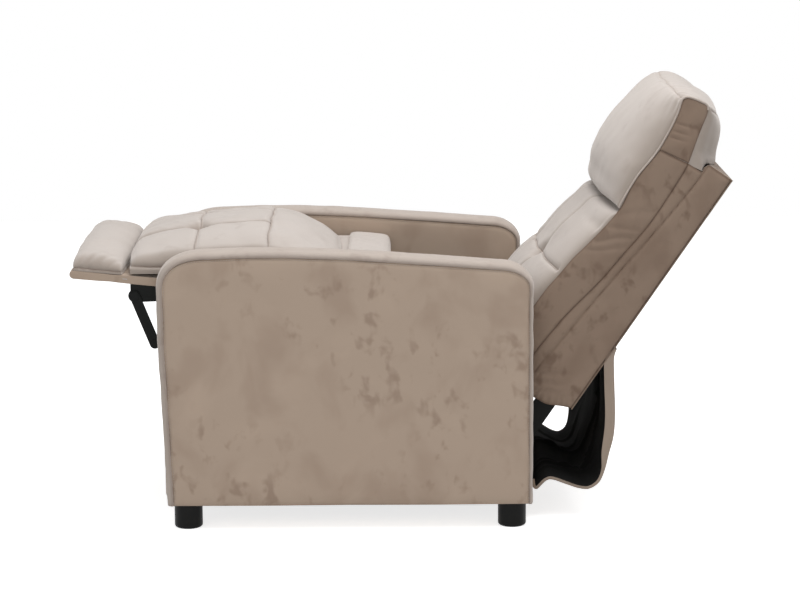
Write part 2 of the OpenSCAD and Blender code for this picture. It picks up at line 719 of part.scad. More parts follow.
// The back hinge in the back's own frame, as depth and height
back_hinge = [
  back_corner_out * cos(back_tilt) - back_corner_up * sin(back_tilt),
  -back_corner_out * sin(back_tilt) - back_corner_up * cos(back_tilt)
];
bracket_x = upright_x + upright_w;
module back_bracket(left) color("dimgray") on_back() side(left)
  across(bracket_x, bracket_t) difference() {
    bar([-back_hinge[0], back_hinge[1]], [-back_hinge[0], bracket_reach], bracket_w);
    translate([-back_hinge[0], back_hinge[1]]) circle(r = tube_r + run_gap);
    for (z = bracket_bolt_places) translate([-back_hinge[0], z]) circle(r = bolt_r + run_gap);
  }

module bracket_bolts() color("silver") on_back()
  for (left = [true, false], z = bracket_bolt_places) side(left) {
    pin([-back_hinge[0], z], bolt_r, upright_x + cover_gap, upright_w + bracket_t);
    pin([-back_hinge[0], z], bolt_head_r, bracket_x + bracket_t, bolt_head_t);
  }

arm_core(true);  // arm_core_left
arm_core(false);  // arm_core_right
arm_outer_panel(true);  // arm_outer_panel_left
arm_outer_panel(false);  // arm_outer_panel_right
arm_inner_panel(true);  // arm_inner_panel_left
arm_inner_panel(false);  // arm_inner_panel_right
arm_boxing(true);  // arm_boxing_left
arm_boxing(false);  // arm_boxing_right
front_panel();
rear_rail();
dust_cover();
foot(true, feet_y[0]);  // foot_front_left
foot(false, feet_y[0]);  // foot_front_right
foot(true, feet_y[1]);  // foot_rear_left
foot(false, feet_y[1]);  // foot_rear_right
foot_studs();
base_rail(true);  // base_rail_left
base_rail(false);  // base_rail_right
front_cross_tube();
back_pivot_tube();
rail_bolts();
base_pivot_pins();
rear_flap();
swing_link_front(true);  // swing_link_front_left
swing_link_front(false);  // swing_link_front_right
swing_link_rear(true);  // swing_link_rear_left
swing_link_rear(false);  // swing_link_rear_right
carriage_plate(true);  // carriage_plate_left
carriage_plate(false);  // carriage_plate_right
seat_side_rail(true);  // seat_side_rail_left
seat_side_rail(false);  // seat_side_rail_right
seat_cross_rails();
seat_webbing();
seat_cushion();
seat_rear_roll();
carriage_pivot_pins();
footrest_board();
foot_pad();
footrest_bracket(true);  // footrest_bracket_left
footrest_bracket(false);  // footrest_bracket_right
footrest_pivot_pins();
slanting_link(true);  // slanting_link_left
slanting_link(false);  // slanting_link_right
crank_tube();
crank(true);  // crank_left
crank(false);  // crank_right
crank_pins();
back_upright(true);  // back_upright_left
back_upright(false);  // back_upright_right
back_cross_rails();
back_webbing();
back_rear_cover();
back_side_cover(true);  // back_side_cover_left
back_side_cover(false);  // back_side_cover_right
back_cushion();
headrest();
back_bracket(true);  // back_bracket_left
back_bracket(false);  // back_bracket_right
bracket_bolts();
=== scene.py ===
import json
import math

import bmesh
import bpy
import numpy as np
from mathutils import Matrix, Vector


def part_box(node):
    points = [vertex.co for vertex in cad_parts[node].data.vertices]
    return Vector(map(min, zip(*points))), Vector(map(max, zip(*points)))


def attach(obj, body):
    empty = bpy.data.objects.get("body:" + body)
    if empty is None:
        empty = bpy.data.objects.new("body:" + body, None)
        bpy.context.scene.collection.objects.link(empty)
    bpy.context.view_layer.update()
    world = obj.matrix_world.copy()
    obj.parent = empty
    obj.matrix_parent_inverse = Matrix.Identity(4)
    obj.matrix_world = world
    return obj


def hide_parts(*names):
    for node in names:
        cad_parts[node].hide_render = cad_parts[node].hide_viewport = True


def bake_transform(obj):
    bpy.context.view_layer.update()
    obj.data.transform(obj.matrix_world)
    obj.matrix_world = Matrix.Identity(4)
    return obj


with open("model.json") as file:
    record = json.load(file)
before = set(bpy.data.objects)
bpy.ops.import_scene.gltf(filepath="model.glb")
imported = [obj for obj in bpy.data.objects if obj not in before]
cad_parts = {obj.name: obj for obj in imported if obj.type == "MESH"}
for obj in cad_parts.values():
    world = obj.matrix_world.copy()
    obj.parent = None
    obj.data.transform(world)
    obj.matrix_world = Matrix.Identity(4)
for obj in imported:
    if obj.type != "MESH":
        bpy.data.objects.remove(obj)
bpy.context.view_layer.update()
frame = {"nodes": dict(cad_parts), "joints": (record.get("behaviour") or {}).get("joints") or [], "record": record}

bl_info = {
    "name": "Reclining Armchair",
    "version": (1, 0, 0),
    "blender": (4, 5, 0),
    "location": "View3D > Sidebar > Armchair",
    "description": "Upholstery, metal and studio for a push-back reclining armchair",
    "category": "Add Mesh",
}

# Places that the frame gives: the arms' edges, the lower rear corner of the back and the footrest's hinge.
# The back's lean and cover thickness and the board's tilt and rise are those of the CAD part
ARM_LOW, ARM_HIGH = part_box("arm_boxing_right")
FRONT = ARM_LOW.y
ARM_LEN = ARM_HIGH.y - ARM_LOW.y
ARM_TOP = ARM_HIGH.z
ARM_BOTTOM = ARM_LOW.z
ARM_IN, ARM_OUT = ARM_LOW.x, ARM_HIGH.x
BACK_LEAN = math.radians(34.33)
BACK_COVER_T = 0.006
BACK_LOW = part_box("back_rear_cover")[0]
BACK_FOOT = (BACK_LOW.y + BACK_COVER_T * math.cos(BACK_LEAN), BACK_LOW.z)
BACK_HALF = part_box("back_side_cover_right")[1].x
BOARD_TILT = math.radians(5.65)
FOLD_PIVOT = next(j["pos_m"] for j in frame["joints"] if j["name"] == "footrest_fold")
BOARD_RISE = 0.0255


# Sizes and colours that a user would change


def length(name, default, description):
    """A size in metres."""
    return bpy.props.FloatProperty(
        name=name, description=description, default=default, unit="LENGTH", precision=4
    )


def share(name, default, description):
    """A plain number from 0 to 1."""
    return bpy.props.FloatProperty(
        name=name, description=description, default=default, min=0, max=1, subtype="FACTOR"
    )


def colour(name, default, description):
    """A linear colour."""
    return bpy.props.FloatVectorProperty(
        name=name, description=description, default=default, size=3, min=0, max=1, subtype="COLOR"
    )


def angle(name, default, description):
    """A turn in radians."""
    return bpy.props.FloatProperty(name=name, description=description, default=default, unit="ROTATION")


def strength(name, default, description):
    """The strength of a light."""
    return bpy.props.FloatProperty(name=name, description=description, default=default, min=0)


class ArmSettings(bpy.types.PropertyGroup):
    """Sizes of the arms' upholstery."""

    front_round: bpy.props.FloatVectorProperty(
        name="Front rounding", description="Radii of the arm's front corner, along and up",
        default=(0.113, 0.084), size=2, unit="LENGTH",
    )
    rear_round: bpy.props.FloatVectorProperty(
        name="Rear rounding", description="Radii of the arm's rear corner, along and up",
        default=(0.071, 0.052), size=2, unit="LENGTH",
    )
    shoulder: length("Shoulder", 0.086, "Drop from the crest to the middle of the front rounding")
    rear_drop: length("Rear drop", 0.08, "Drop from the crest to the middle of the rear rounding")
    knee: length("Knee", 0.189, "Drop from the crest to where the front edge starts to rake")
    rake: length("Rake", 0.015, "Set-back of the lower front corner")
    seam_inset: length("Seam inset", 0.012, "Distance of the side seam from the outline")
    rear_seam: share("Rear seam", 0.5, "Inset of the rear seam as a share of the side seam's inset")
    panel_t: length("Panel thickness", 0.012, "Thickness of a padded side panel")
    crown: length("Crown", 0.0022, "Swell of the padded panels and strip")
    inner_z: length("Inner panel", 0.3, "Height at which the inner panel starts")


class SeatSettings(bpy.types.PropertyGroup):
    """Sizes of the seat and of the footrest."""

    tuft_x: length("Tuft spacing", 0.09, "Distance of a tuft from the middle of the seat")
    groove: length("Groove", 0.0038, "Depth of a sewn seam")
    groove_w: length("Groove width", 0.0072, "Reach of the soft dip beside a seam")
    tuft: length("Tuft depth", 0.013, "Depth of a tuft")
    tuft_w: length("Tuft width", 0.019, "Reach of a tuft's dip")
    border: length("Border", 0.0165, "Height of the seam round the seat above its underside")
    seams: bpy.props.FloatVectorProperty(
        name="Seams", description="Places of the two cross seams as shares of the seat cushion's length",
        default=(0.317, 0.656), size=2, min=0, max=1,
    )
    board_len: length("Board length", 0.197, "Length of the footrest board")
    board_t: length("Board thickness", 0.018, "Thickness of the footrest board")
    pad_back: length("Pad setback", 0.079, "Distance of the foot pad from the board's rear end")
    pad_len: length("Pad length", 0.116, "Length of the foot pad along the board")
    roll_h: length("Roll height", 0.016, "Height of the rear roll above the seat's underside")
    rail_y: length("Rail", 0.4803, "Place behind the arms' front edge where the roll's rear ends")
    pad_h: length("Pad height", 0.05, "Height of the foot pad above the board")


class BackSettings(bpy.types.PropertyGroup):
    """Sizes of the back."""

    height: length("Height", 0.593, "Height of the shell along its rear face")
    depth: length("Depth", 0.26, "Depth from the rear face to the cushion's crest")
    seam: share("Seam height", 0.39, "Height of the cross seam as a share of the shell's height")
    side_t: length("Side thickness", 0.01, "Thickness of a padded side cover")
    crown: length("Crown", 0.0025, "Swell of the padded side panels")
    flap_seam: length("Flap seam", 0.16, "Height at which the rear flap is sewn to the back")
    frame_low: length("Frame low", 0.015, "Height at which the uprights start")
    frame_top: length("Frame top", 0.5598, "Height at which the uprights end")
    strap_depth: length("Strap depth", 0.087, "Depth of the straps ahead of the rear face")


class FlapSettings(bpy.types.PropertyGroup):
    """Sizes of the loose rear flap."""

    half: length("Half width", 0.25, "Half of the flap's width")
    low: length("Lower end", 0.064, "Height of the flap's lower end on the base's rear rail")
    out: length("Reach", 0.176, "How far the flap hangs out behind the arms")
    pull: length("Pull", 0.05, "How much further in its left edge hangs")
    hem: length("Hem", 0.018, "Width of the side hems that are turned in")
    cloth_t: length("Cloth", 0.0014, "Thickness of one layer of cloth")
    lining_gap: length("Lining gap", 0.004, "Gap between the outer cloth and its lining")


class FabricSettings(bpy.types.PropertyGroup):
    """Colours of the fabrics."""

    side: colour("Sides", (0.43, 0.336, 0.264), "Velvet on the arms' sides")
    boxing: colour("Strip", (0.455, 0.392, 0.347), "Velvet on the arms' top strip")
    cushion: colour("Cushions", (0.52, 0.47, 0.435), "Velvet on the seat, footrest and cushions")
    # This colour is darker than the arms' velvet: partly the fabric's own tone, partly painted shade on the back
    back: colour("Back", (0.262, 0.192, 0.145), "Velvet on the sides and rear of the back")
    # This colour is the cloth's own tone, darkened as painted shade for the shade the flap hangs in
    flap: colour("Flap", (0.33, 0.262, 0.21), "Woven cloth of the rear flap")
    nap: length("Nap", 0.11, "Size of the patches where the nap lies another way")


class StageSettings(bpy.types.PropertyGroup):
    """Camera and lights."""

    camera: bpy.props.FloatVectorProperty(
        name="Camera", description="Place of the camera, its Y from the arms' front edge",
        default=(5.7461, 0.50676, 1.499), size=3, unit="LENGTH",
    )
    lens: bpy.props.FloatProperty(
        name="Lens", description="Focal length in millimetres", default=118.26, unit="CAMERA"
    )
    yaw: angle("Yaw", 0.0008, "Turn of the camera to the left")
    pitch: angle("Pitch", 0.1833, "How far the camera looks down")
    roll: angle("Roll", -0.0061, "Tilt of the picture")
    ambient: strength("Ambient", 0.42, "Strength of the soft light all round")
    top_light: strength("Top light", 105.0, "Power of the overhead softbox")
    side_light: strength("Side light", 22.0, "Power of the softbox by the camera")
    glow: strength("Floor", 0.75, "How strongly the floor glows, so that it looks white")


SETTINGS = {
    "armchair_arm": ArmSettings, "armchair_seat": SeatSettings, "armchair_back": BackSettings,
    "armchair_flap": FlapSettings, "armchair_fabric": FabricSettings, "armchair_stage": StageSettings,
}


# Lines and grids of points


def spline(points, places):
    """Catmull-Rom curve through the points of an open list, at places counted in points from its start."""
    p = np.asarray(points, float)
    p = np.vstack([p[:1], p, p[-1:]])
    u = np.clip(np.asarray(places, float), 0, len(points) - 1)
    i = np.minimum(u.astype(int), len(points) - 2)
    t = (u - i)[:, None]
    a, b, c, d = p[i], p[i + 1], p[i + 2], p[i + 3]
    return 0.5 * (
        2 * b + (c - a) * t + (2 * a - 5 * b + 4 * c - d) * t**2 + (3 * b - 3 * c + d - a) * t**3
    )


def drawn(points, count):
    """Catmull-Rom curve through the points, at `count` places."""
    return spline(points, np.linspace(0, len(points) - 1, count))


def measured(line):
    """Length of a line of points up to each of them."""
    return np.concatenate([[0], np.cumsum(np.linalg.norm(np.diff(line, axis=0), axis=1))])


def resampled(line, count):
    """The line at `count` places evenly spaced along its length."""
    far = measured(line)
    want = np.linspace(0, far[-1], count)
    return np.stack([np.interp(want, far, line[:, k]) for k in range(line.shape[1])], axis=1)


FINE_STEPS = np.array([-9, -6, -4, -2.5, -1.4, -0.6, 0, 0.6, 1.4, 2.5, 4, 6, 9]) / 1000


def spaced(low, high, step, marks=()):
    """Places from low to high, a step apart, with finer ones on both sides of each mark."""
    fine = [np.asarray(marks)[:, None] + FINE_STEPS] if len(marks) else []
    even = np.linspace(low, high, max(2, round((high - low) / step) + 1))
    for m in marks:
        even = even[np.abs(even - m) > FINE_STEPS[-1]]
    places = np.concatenate([[low, high], even] + [f.ravel() for f in fine])
    return np.unique(np.round(places[(places >= low) & (places <= high)], 6))


def ring_places(points, step, marks=()):
    """Places along a spline, counted in its points, about a step apart and finer near the marks."""
    dense = np.linspace(0, len(points) - 1, 40 * len(points))
    far = measured(spline(points, dense))
    near = np.interp(marks, dense, far)
    return np.interp(spaced(0, far[-1], step, near), far, dense)


def normals(grid):
    """Unit vector square to the grid at each of its points, from the differences along rows and columns."""
    n = np.cross(np.gradient(grid, axis=0), np.gradient(grid, axis=1))
    n /= np.linalg.norm(n, axis=-1, keepdims=True) + 1e-12
    outwards = ((grid - grid.reshape(-1, 3).mean(0)) * n).sum()
    return n if outwards > 0 else -n


def smooth(x, low, high):
    """Smooth step from 0 at low to 1 at high."""
    t = np.clip((x - low) / (high - low), 0, 1)
    return t * t * (3 - 2 * t)


def bell(d, w):
    """Soft dip: 1 at distance 0, fading over w."""
    return np.exp(-((d / w) ** 2))


def cusp(d, w):
    """Sharp crease: 1 at distance 0, with straight flanks that fade over w."""
    return np.exp(-np.abs(d) / w)


def ripple(points, size, seed, waves=14):
    """Uneven height: a sum of sine waves of about one size in directions drawn from a seed, about -1 to 1."""
    rng = np.random.default_rng(seed)
    k = rng.normal(size=(waves, points.shape[-1]))
    k *= (2 * math.pi / size * rng.uniform(0.6, 1.5, waves) / np.linalg.norm(k, axis=1))[:, None]
    return np.sin(points @ k.T + rng.uniform(0, 2 * math.pi, waves)).sum(-1) / math.sqrt(waves)


def folds(a, b, at, angles, reach, width):
    """Pull folds: valleys along rays from one point, each widening as it goes and fading over its reach."""
    total = np.zeros(np.broadcast(a, b).shape)
    for angle in angles:
        along = (a - at[0]) * math.cos(angle) + (b - at[1]) * math.sin(angle)
        off = (b - at[1]) * math.cos(angle) - (a - at[0]) * math.sin(angle)
        ray = np.exp(-along / reach) * (1 - np.exp(-along / width)) * bell(off, width + 0.12 * np.abs(along))
        total += np.where(along > 0, ray, 0)
    return total


def coons(bottom, top, left, right):
    """Grid between four edges: rows run from the left edge to the right one, and the first row is the bottom.
    Each point is the sum of the two straight fillings less the one that the corners give."""
    s = np.linspace(0, 1, len(bottom))[None, :, None]
    t = np.linspace(0, 1, len(left))[:, None, None]
    along = (1 - t) * bottom[None] + t * top[None]
    across = (1 - s) * left[:, None] + s * right[:, None]
    corners = (
        (1 - s) * (1 - t) * bottom[0] + s * (1 - t) * bottom[-1] + (1 - s) * t * top[0] + s * t * top[-1]
    )
    return along + across - corners


# Meshes


def build(name, grids, crease_shades=None, weld=2e-5, caps=()):
    """One mesh of several grids of points, and of flat caps given as rings. Shared edges are welded and the
    faces turned outwards. The list of crease shades holds, for each grid, how much painted shade each point
    gets in seams, tufts and folds. Each point also gets an attribute of painted shade, 1 where the surface
    faces sideways, or down and to the rear, so that the velvet is drawn darker there."""
    points, faces, marks, start = [], [], [], 0
    for n, grid in enumerate(grids):
        rows, cols = grid.shape[:2]
        i = start + np.arange(rows - 1)[:, None] * cols + np.arange(cols - 1)[None, :]
        faces.append(np.stack([i, i + 1, i + cols + 1, i + cols], -1).reshape(-1, 4))
        points.append(grid.reshape(-1, 3))
        mark = crease_shades[n] if crease_shades is not None and crease_shades[n] is not None else np.zeros((rows, cols))
        marks.append(np.broadcast_to(mark, (rows, cols)).ravel())
        start += rows * cols
    faces = np.concatenate(faces).tolist()
    for ring in caps:
        faces.append(list(range(start, start + len(ring))))
        points.append(ring)
        marks.append(np.zeros(len(ring)))
        start += len(ring)
    mesh = bpy.data.meshes.new(name)
    mesh.from_pydata(np.concatenate(points), [], faces)
    attribute = mesh.attributes.new("crease", "FLOAT", "POINT")
    attribute.data.foreach_set("value", np.concatenate(marks).astype(np.float32))
    work = bmesh.new()
    work.from_mesh(mesh)
    bmesh.ops.remove_doubles(work, verts=work.verts, dist=weld)
    bmesh.ops.triangulate(work, faces=[f for f in work.faces if len(f.verts) > 4])
    bmesh.ops.recalc_face_normals(work, faces=work.faces)
    work.to_mesh(mesh)
    work.free()
    mesh.shade_smooth()
    mesh.set_sharp_from_angle(angle=math.radians(50))
    facing = np.empty(len(mesh.vertices) * 3, np.float32)
    mesh.vertices.foreach_get("normal", facing)
    facing = facing.reshape(-1, 3)
    # Painted shade: surfaces that face sideways, or down and to the rear, are marked to be drawn darker
    side_shade = np.maximum(
        smooth(np.abs(facing[:, 0]), 0.12, 1.0), smooth(facing[:, 1] - facing[:, 2], 0.6, 1.3)
    )
    attribute = mesh.attributes.new("side_shade", "FLOAT", "POINT")
    attribute.data.foreach_set("value", side_shade.astype(np.float32))
    obj = bpy.data.objects.new(name, mesh)
    bpy.context.scene.collection.objects.link(obj)
    return obj


def skirt(front, back):
    """The four strips that close the gap between two grids of the same shape."""
    return [np.stack([front[k], back[k]]) for k in (0, -1)] + [
        np.stack([front[:, k], back[:, k]]) for k in (0, -1)
    ]


def slab(name, front, back, crease=None, rim=0.0):
    """Closed panel between a front and a back grid. rim is how much painted shade its narrow sides get."""
    sides = skirt(front, back)
    return build(name, [front, back] + sides, [crease, None] + [np.full(e.shape[:2], rim) for e in sides])


def fan(ring, rise=(0, 0, 0), steps=6):
    """Rows that shrink a ring to its middle, bulging out by `rise` as a parabola."""
    k = np.linspace(1, 0, steps)[:, None, None]
    middle = ring.mean(0)
    return middle + (ring - middle) * k + np.asarray(rise) * (1 - k**2)


def end_caps(body):
    """The two strips that close a tube: each runs from the middle of its last ring out to that ring."""
    return [np.stack([np.broadcast_to(body[k].mean(0), body[k].shape), body[k]]) for k in (0, -1)]


def tube(line, radius, sides=8):
    """Grids of a round cord and its flat ends: a ring square to a line at each of the line's points."""
    line = np.asarray(line, float)
    t = np.gradient(line, axis=0)
    t /= np.linalg.norm(t, axis=1, keepdims=True) + 1e-12
    up = np.where(np.abs(t[:, :1]) < 0.9, [[1.0, 0, 0]], [[0, 0, 1.0]])
    a = np.cross(t, up)
    a /= np.linalg.norm(a, axis=1, keepdims=True)
    b = np.cross(t, a)
    w = np.linspace(0, 2 * math.pi, sides + 1)[None, :, None]
    body = line[:, None] + radius * (np.cos(w) * a[:, None] + np.sin(w) * b[:, None])
    return [body] + end_caps(body)


def dashes(line, radius, pitch, part=0.72, sides=5):
    """Grids of a row of stitches along a line: short cords, each a part of the pitch long."""
    far = measured(line)
    count = max(1, int(far[-1] / pitch))
    start = (np.arange(count) + 0.5 * (1 - part)) * far[-1] / count
    out = []
    shares = np.array([0, 0.15, 0.5, 0.85, 1])
    sizes = np.array([0.35, 0.85, 1, 0.85, 0.35])
    for s in start:
        at = s + shares * part * far[-1] / count
        seg = np.stack([np.interp(at, far, line[:, k]) for k in range(3)], axis=1)
        body = tube(seg, radius, sides)[0]
        middle = seg[:, None]
        body = middle + (body - middle) * sizes[:, None, None]
        out += [body] + end_caps(body)
    return out


def both(make):
    """Calls make with each side's name and the sign of its X. Left is at -X, as seen from in front."""
    for side, sign in (("left", -1), ("right", 1)):
        make(side, sign)


def finished(obj, slot, body, replaces=()):
    """Gives a piece its slot's material, and ties it to the body that it moves with."""
    obj.data.materials.clear()
    obj.data.materials.append(material(slot))
    if replaces:
        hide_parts(*replaces)
    if body:
        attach(obj, body)
    return obj


def on_arm(y, z, x):
    """Points from distances behind the arms' front edge, heights and places across."""
    return np.stack(np.broadcast_arrays(x, FRONT + np.asarray(y), z), axis=-1)


def on_back(n, u, x):
    """Points from depths ahead of the back's rear face, heights along it and places across."""
    n, u = np.asarray(n), np.asarray(u)
    s, c = math.sin(BACK_LEAN), math.cos(BACK_LEAN)
    y, z = BACK_FOOT[0] - n * c + u * s, BACK_FOOT[1] + n * s + u * c
    return np.stack(np.broadcast_arrays(x, y, z), axis=-1)


def on_board(y, z, x):
    """Points from distances behind the board's rear end, heights above its middle plane and places across."""
    y, z = np.asarray(y), np.asarray(z)
    s, c = math.sin(BOARD_TILT), math.cos(BOARD_TILT)
    y, z = FOLD_PIVOT[1] + y * c + z * s, FOLD_PIVOT[2] + BOARD_RISE - y * s + z * c
    return np.stack(np.broadcast_arrays(x, y, z), axis=-1)


def of_points(place):
    """The same placing for points that are given as (place across, first, second)."""
    return lambda p: place(p[..., 1], p[..., 2], p[..., 0])


arm_place, back_place, board_place = (of_points(place) for place in (on_arm, on_back, on_board))


# Materials


class Value:
    """A number or colour inside a node tree. Arithmetic on a number adds the Math nodes."""

    def __init__(self, shader, socket):
        self.shader, self.socket = shader, socket

    def _math(self, operation, *terms, clamp=False):
        sockets = [t.socket if isinstance(t, Value) else float(t) for t in terms]
        return self.shader.add("ShaderNodeMath", {"operation": operation, "use_clamp": clamp}, sockets)

    def __add__(self, other):
        return self._math("ADD", self, other)

    def __mul__(self, other):
        return self._math("MULTIPLY", self, other)

    __radd__, __rmul__ = __add__, __mul__

    def clamped(self):
        return self._math("ADD", self, 0, clamp=True)

    def most(self, other):
        return self._math("MAXIMUM", self, other)

    def step(self, low, high):
        """Smooth step from 0 at low to 1 at high."""
        return self.shader.add(
            "ShaderNodeMapRange", {"interpolation_type": "SMOOTHSTEP"},
            {"Value": self.socket, "From Min": low, "From Max": high},
        )


class Nodes:
    """Adds nodes to one tree."""

    def __init__(self, tree):
        self.tree = tree

    def add(self, kind, settings, inputs, output=0):
        """Adds a node: its settings first, then a value or link for each input, by name or in order.
        output None is for a node that has no outputs."""
        node = self.tree.nodes.new(kind)
        for key, value in settings.items():
            setattr(node, key, value)
        pairs = inputs.items() if isinstance(inputs, dict) else enumerate(inputs)
        for key, value in pairs:
            self.feed(node.inputs[key], value)
        return None if output is None else Value(self, node.outputs[output])

    def feed(self, socket, value):
        """Links or sets one input. A colour may be given without its alpha."""
        value = value.socket if isinstance(value, Value) else value
        if isinstance(value, bpy.types.NodeSocket):
            self.tree.links.new(value, socket)
        else:
            socket.default_value = (*value, 1) if socket.type == "RGBA" and len(value) == 3 else value

    def seen(self):
        """1 for the rays that show a thing itself, its mirror image or the view through it, otherwise 0."""
        rays = ("Camera", "Glossy", "Transmission")
        camera, glossy, through = (self.add("ShaderNodeLightPath", {}, {}, f"Is {ray} Ray") for ray in rays)
        return camera.most(glossy).most(through)


class Shader(Nodes):
    """A material made of nodes around one Principled surface."""

    def __init__(self, name):
        self.material = bpy.data.materials.new(name)
        self.material.use_nodes = True
        super().__init__(self.material.node_tree)
        self.surface = next(n for n in self.tree.nodes if n.type == "BSDF_PRINCIPLED")
        self.place = self.add("ShaderNodeTexCoord", {}, {}, "Object").socket

    def attribute(self, name):
        return self.add("ShaderNodeAttribute", {"attribute_name": name}, {}, "Fac")

    def noise(self, size, detail=3.0, roughness=0.5, distortion=0.0, stretch=(1, 1, 1), shift=(0, 0, 0)):
        """Noise of a size in metres, stretched by three factors."""
        scale = [1 / factor for factor in stretch]
        at = self.add("ShaderNodeMapping", {}, {"Vector": self.place, "Location": shift, "Scale": scale})
        inputs = {"Vector": at, "Scale": 1 / size, "Detail": detail}
        inputs.update({"Roughness": roughness, "Distortion": distortion})
        return self.add("ShaderNodeTexNoise", {}, inputs)

    def mix(self, factor, a, b):
        """Colour a turned into b by the factor."""
        return self.add("ShaderNodeMix", {"data_type": "RGBA"}, {0: factor, 6: a, 7: b}, 2)

    def bump(self, height, distance, strength=1.0, onto=None):
        inputs = {"Height": height, "Distance": distance, "Strength": strength}
        if onto is not None:
            inputs["Normal"] = onto
        return self.add("ShaderNodeBump", {}, inputs)

    def finish(self, **inputs):
        """Sets the surface's inputs, each named with _ for a space."""
        for key, value in inputs.items():
            name = key.replace("_", " ").title().replace("Ior", "IOR")
            self.feed(self.surface.inputs[name], value)
        return self.material


def shade(rgb, factors):
    """A colour made lighter or darker by one factor, or by one for each channel."""
    return tuple(min(1.0, c * float(f)) for c, f in zip(rgb, np.broadcast_to(factors, 3)))


def velvet(name, base, nap, patches=0.5, seed=0.0, side_shade=0.0):
    """Short-pile velvet: large patches where the nap is brushed another way, small smudges, fine fibres, and
    painted shade on surfaces that face sideways or down and to the rear, and in seams, tufts and folds.
    """
    s = Shader(name)
    base = tuple(base)
    broad = s.noise(nap, 3.0, 0.5, 0.3, (1, 1, 1.3), (seed, seed, 0)).step(0.48, 0.7)
    lit = s.noise(nap * 1.3, 2.5, 0.5, 0.5, (1, 1.2, 1), (0, seed + 3, 1)).step(0.5, 0.75)
    where = s.noise(nap * 2.2, 1.0, 0.5, 0.0, (1, 1, 1), (4, seed, 2)).step(0.4, 0.56)
    smudge = s.noise(nap * 0.33, 2.5, 0.55, 0.25, (1, 1, 1.25), (2, 0, seed)).step(0.54, 0.72) * where
    fibre = s.noise(0.0011, 2.0, 0.6, 0.0, (1, 1, 1.8))
    tone = s.mix(lit * (0.55 * patches), base, shade(base, 1.14))
    tone = s.mix(broad * (0.75 * patches), tone, shade(base, (0.8, 0.765, 0.75)))
    tone = s.mix(smudge * patches, tone, shade(base, (0.66, 0.61, 0.59)))
    tone = s.mix(fibre * 0.16, tone, shade(base, 0.7))
    # Painted shade, of the given strength, on surfaces that face sideways, or down and to the rear
    if side_shade:
        tone = s.mix(s.attribute("side_shade") * side_shade, tone, shade(base, (0.6, 0.55, 0.5)))
    # Painted shade in seams, tufts and folds
    tone = s.mix((s.attribute("crease") * 0.68).clamped(), tone, shade(base, (0.36, 0.29, 0.25)))
    crumple = s.noise(0.045, 2.0, 0.5, 0.3)
    normal = s.bump(fibre, 0.0005, 0.35, s.bump(crumple, 0.002, 0.2))
    return s.finish(
        base_color=tone, roughness=0.92, normal=normal, specular_ior_level=0.18,
        sheen_weight=0.42, sheen_roughness=0.38, sheen_tint=(1.0, 0.96, 0.92),
    )


def woven(name, base, gauge=0.0012, seed=0.0):
    """Plain woven cloth: two crossing waves of threads, with slubs."""
    s = Shader(name)
    x, y, z = (s.add("ShaderNodeSeparateXYZ", {}, [s.place], axis) for axis in range(3))
    k = 2 * math.pi / gauge
    warp = s.add("ShaderNodeMath", {"operation": "SINE"}, [x * k])
    weft = s.add("ShaderNodeMath", {"operation": "SINE"}, [(z + y) * k])
    weave = warp * weft * 0.5 + 0.5
    slub = s.noise(0.02, 3.0, 0.6, 0.0, (1, 1, 4), (seed, 0, 0))
    tone = s.mix(weave * 0.25, tuple(base), shade(base, 0.7))
    tone = s.mix(slub * 0.3, tone, shade(base, 1.25))
    # Painted shade in seams and folds
    tone = s.mix((s.attribute("crease") * 0.6).clamped(), tone, shade(base, 0.35))
    normal = s.bump(weave, 0.0003, 0.5, s.bump(slub, 0.002, 0.25))
    return s.finish(
        base_color=tone, roughness=0.9, normal=normal, specular_ior_level=0.2, sheen_weight=0.15,
        sheen_roughness=0.5,
    )


def black_cloth():
    """Non-woven black cloth with a pressed dot pattern."""
    s = Shader("black_cloth")
    inputs = {"Vector": s.place, "Scale": 1 / 0.0022, "Randomness": 0.15}
    dot = s.add("ShaderNodeTexVoronoi", {"feature": "F1"}, inputs).step(0.12, 0.3)
    lint = s.noise(0.012, 4.0, 0.65)
    tone = s.mix(lint * 0.5, (0.009, 0.009, 0.009), (0.022, 0.022, 0.021))
    return s.finish(
        base_color=tone, roughness=0.94, normal=s.bump(dot, 0.0003, 0.4, s.bump(lint, 0.003, 0.3)),
        specular_ior_level=0.12,
    )


def black_metal():
    """Satin black powder coat: fine orange peel, and random patches of dust a little lighter and rougher."""
    s = Shader("black_metal")
    peel = s.noise(0.0016, 2.0, 0.5)
    dust = s.noise(0.06, 4.0, 0.6).step(0.45, 0.8)
    tone = s.mix(dust * 0.6, (0.006, 0.0065, 0.006), (0.013, 0.0135, 0.0125))
    coat = s.bump(peel, 0.0002, 0.35)
    return s.finish(base_color=tone, roughness=dust * 0.14 + 0.48, normal=coat, specular_ior_level=0.11)


def pin_steel():
    """Zinc-plated steel with turning marks and faint stains."""
    s = Shader("pin_steel")
    marks = s.noise(0.0009, 2.0, 0.5, 0.0, (1, 6, 6))
    stain = s.noise(0.012, 3.0, 0.6).step(0.5, 0.75)
    tone = s.mix(stain * 0.5, (0.52, 0.52, 0.53), (0.36, 0.34, 0.31))
    turned = s.bump(marks, 0.0001, 0.4)
    return s.finish(base_color=tone, metallic=1.0, roughness=stain * 0.15 + 0.3, normal=turned)


def foot_plastic():
    """Moulded black plastic, satin, with a fine grain and light scuffs."""
    s = Shader("foot_plastic")
    grain = s.noise(0.0007, 2.0, 0.6)
    scuff = s.noise(0.02, 5.0, 0.65, 0.8, (1, 1, 0.4)).step(0.58, 0.8)
    tone = s.mix(scuff * 0.5, (0.004, 0.004, 0.0038), (0.012, 0.012, 0.0115))
    moulded = s.bump(grain, 0.0001, 0.4)
    return s.finish(base_color=tone, roughness=scuff * 0.2 + 0.42, normal=moulded, specular_ior_level=0.12)


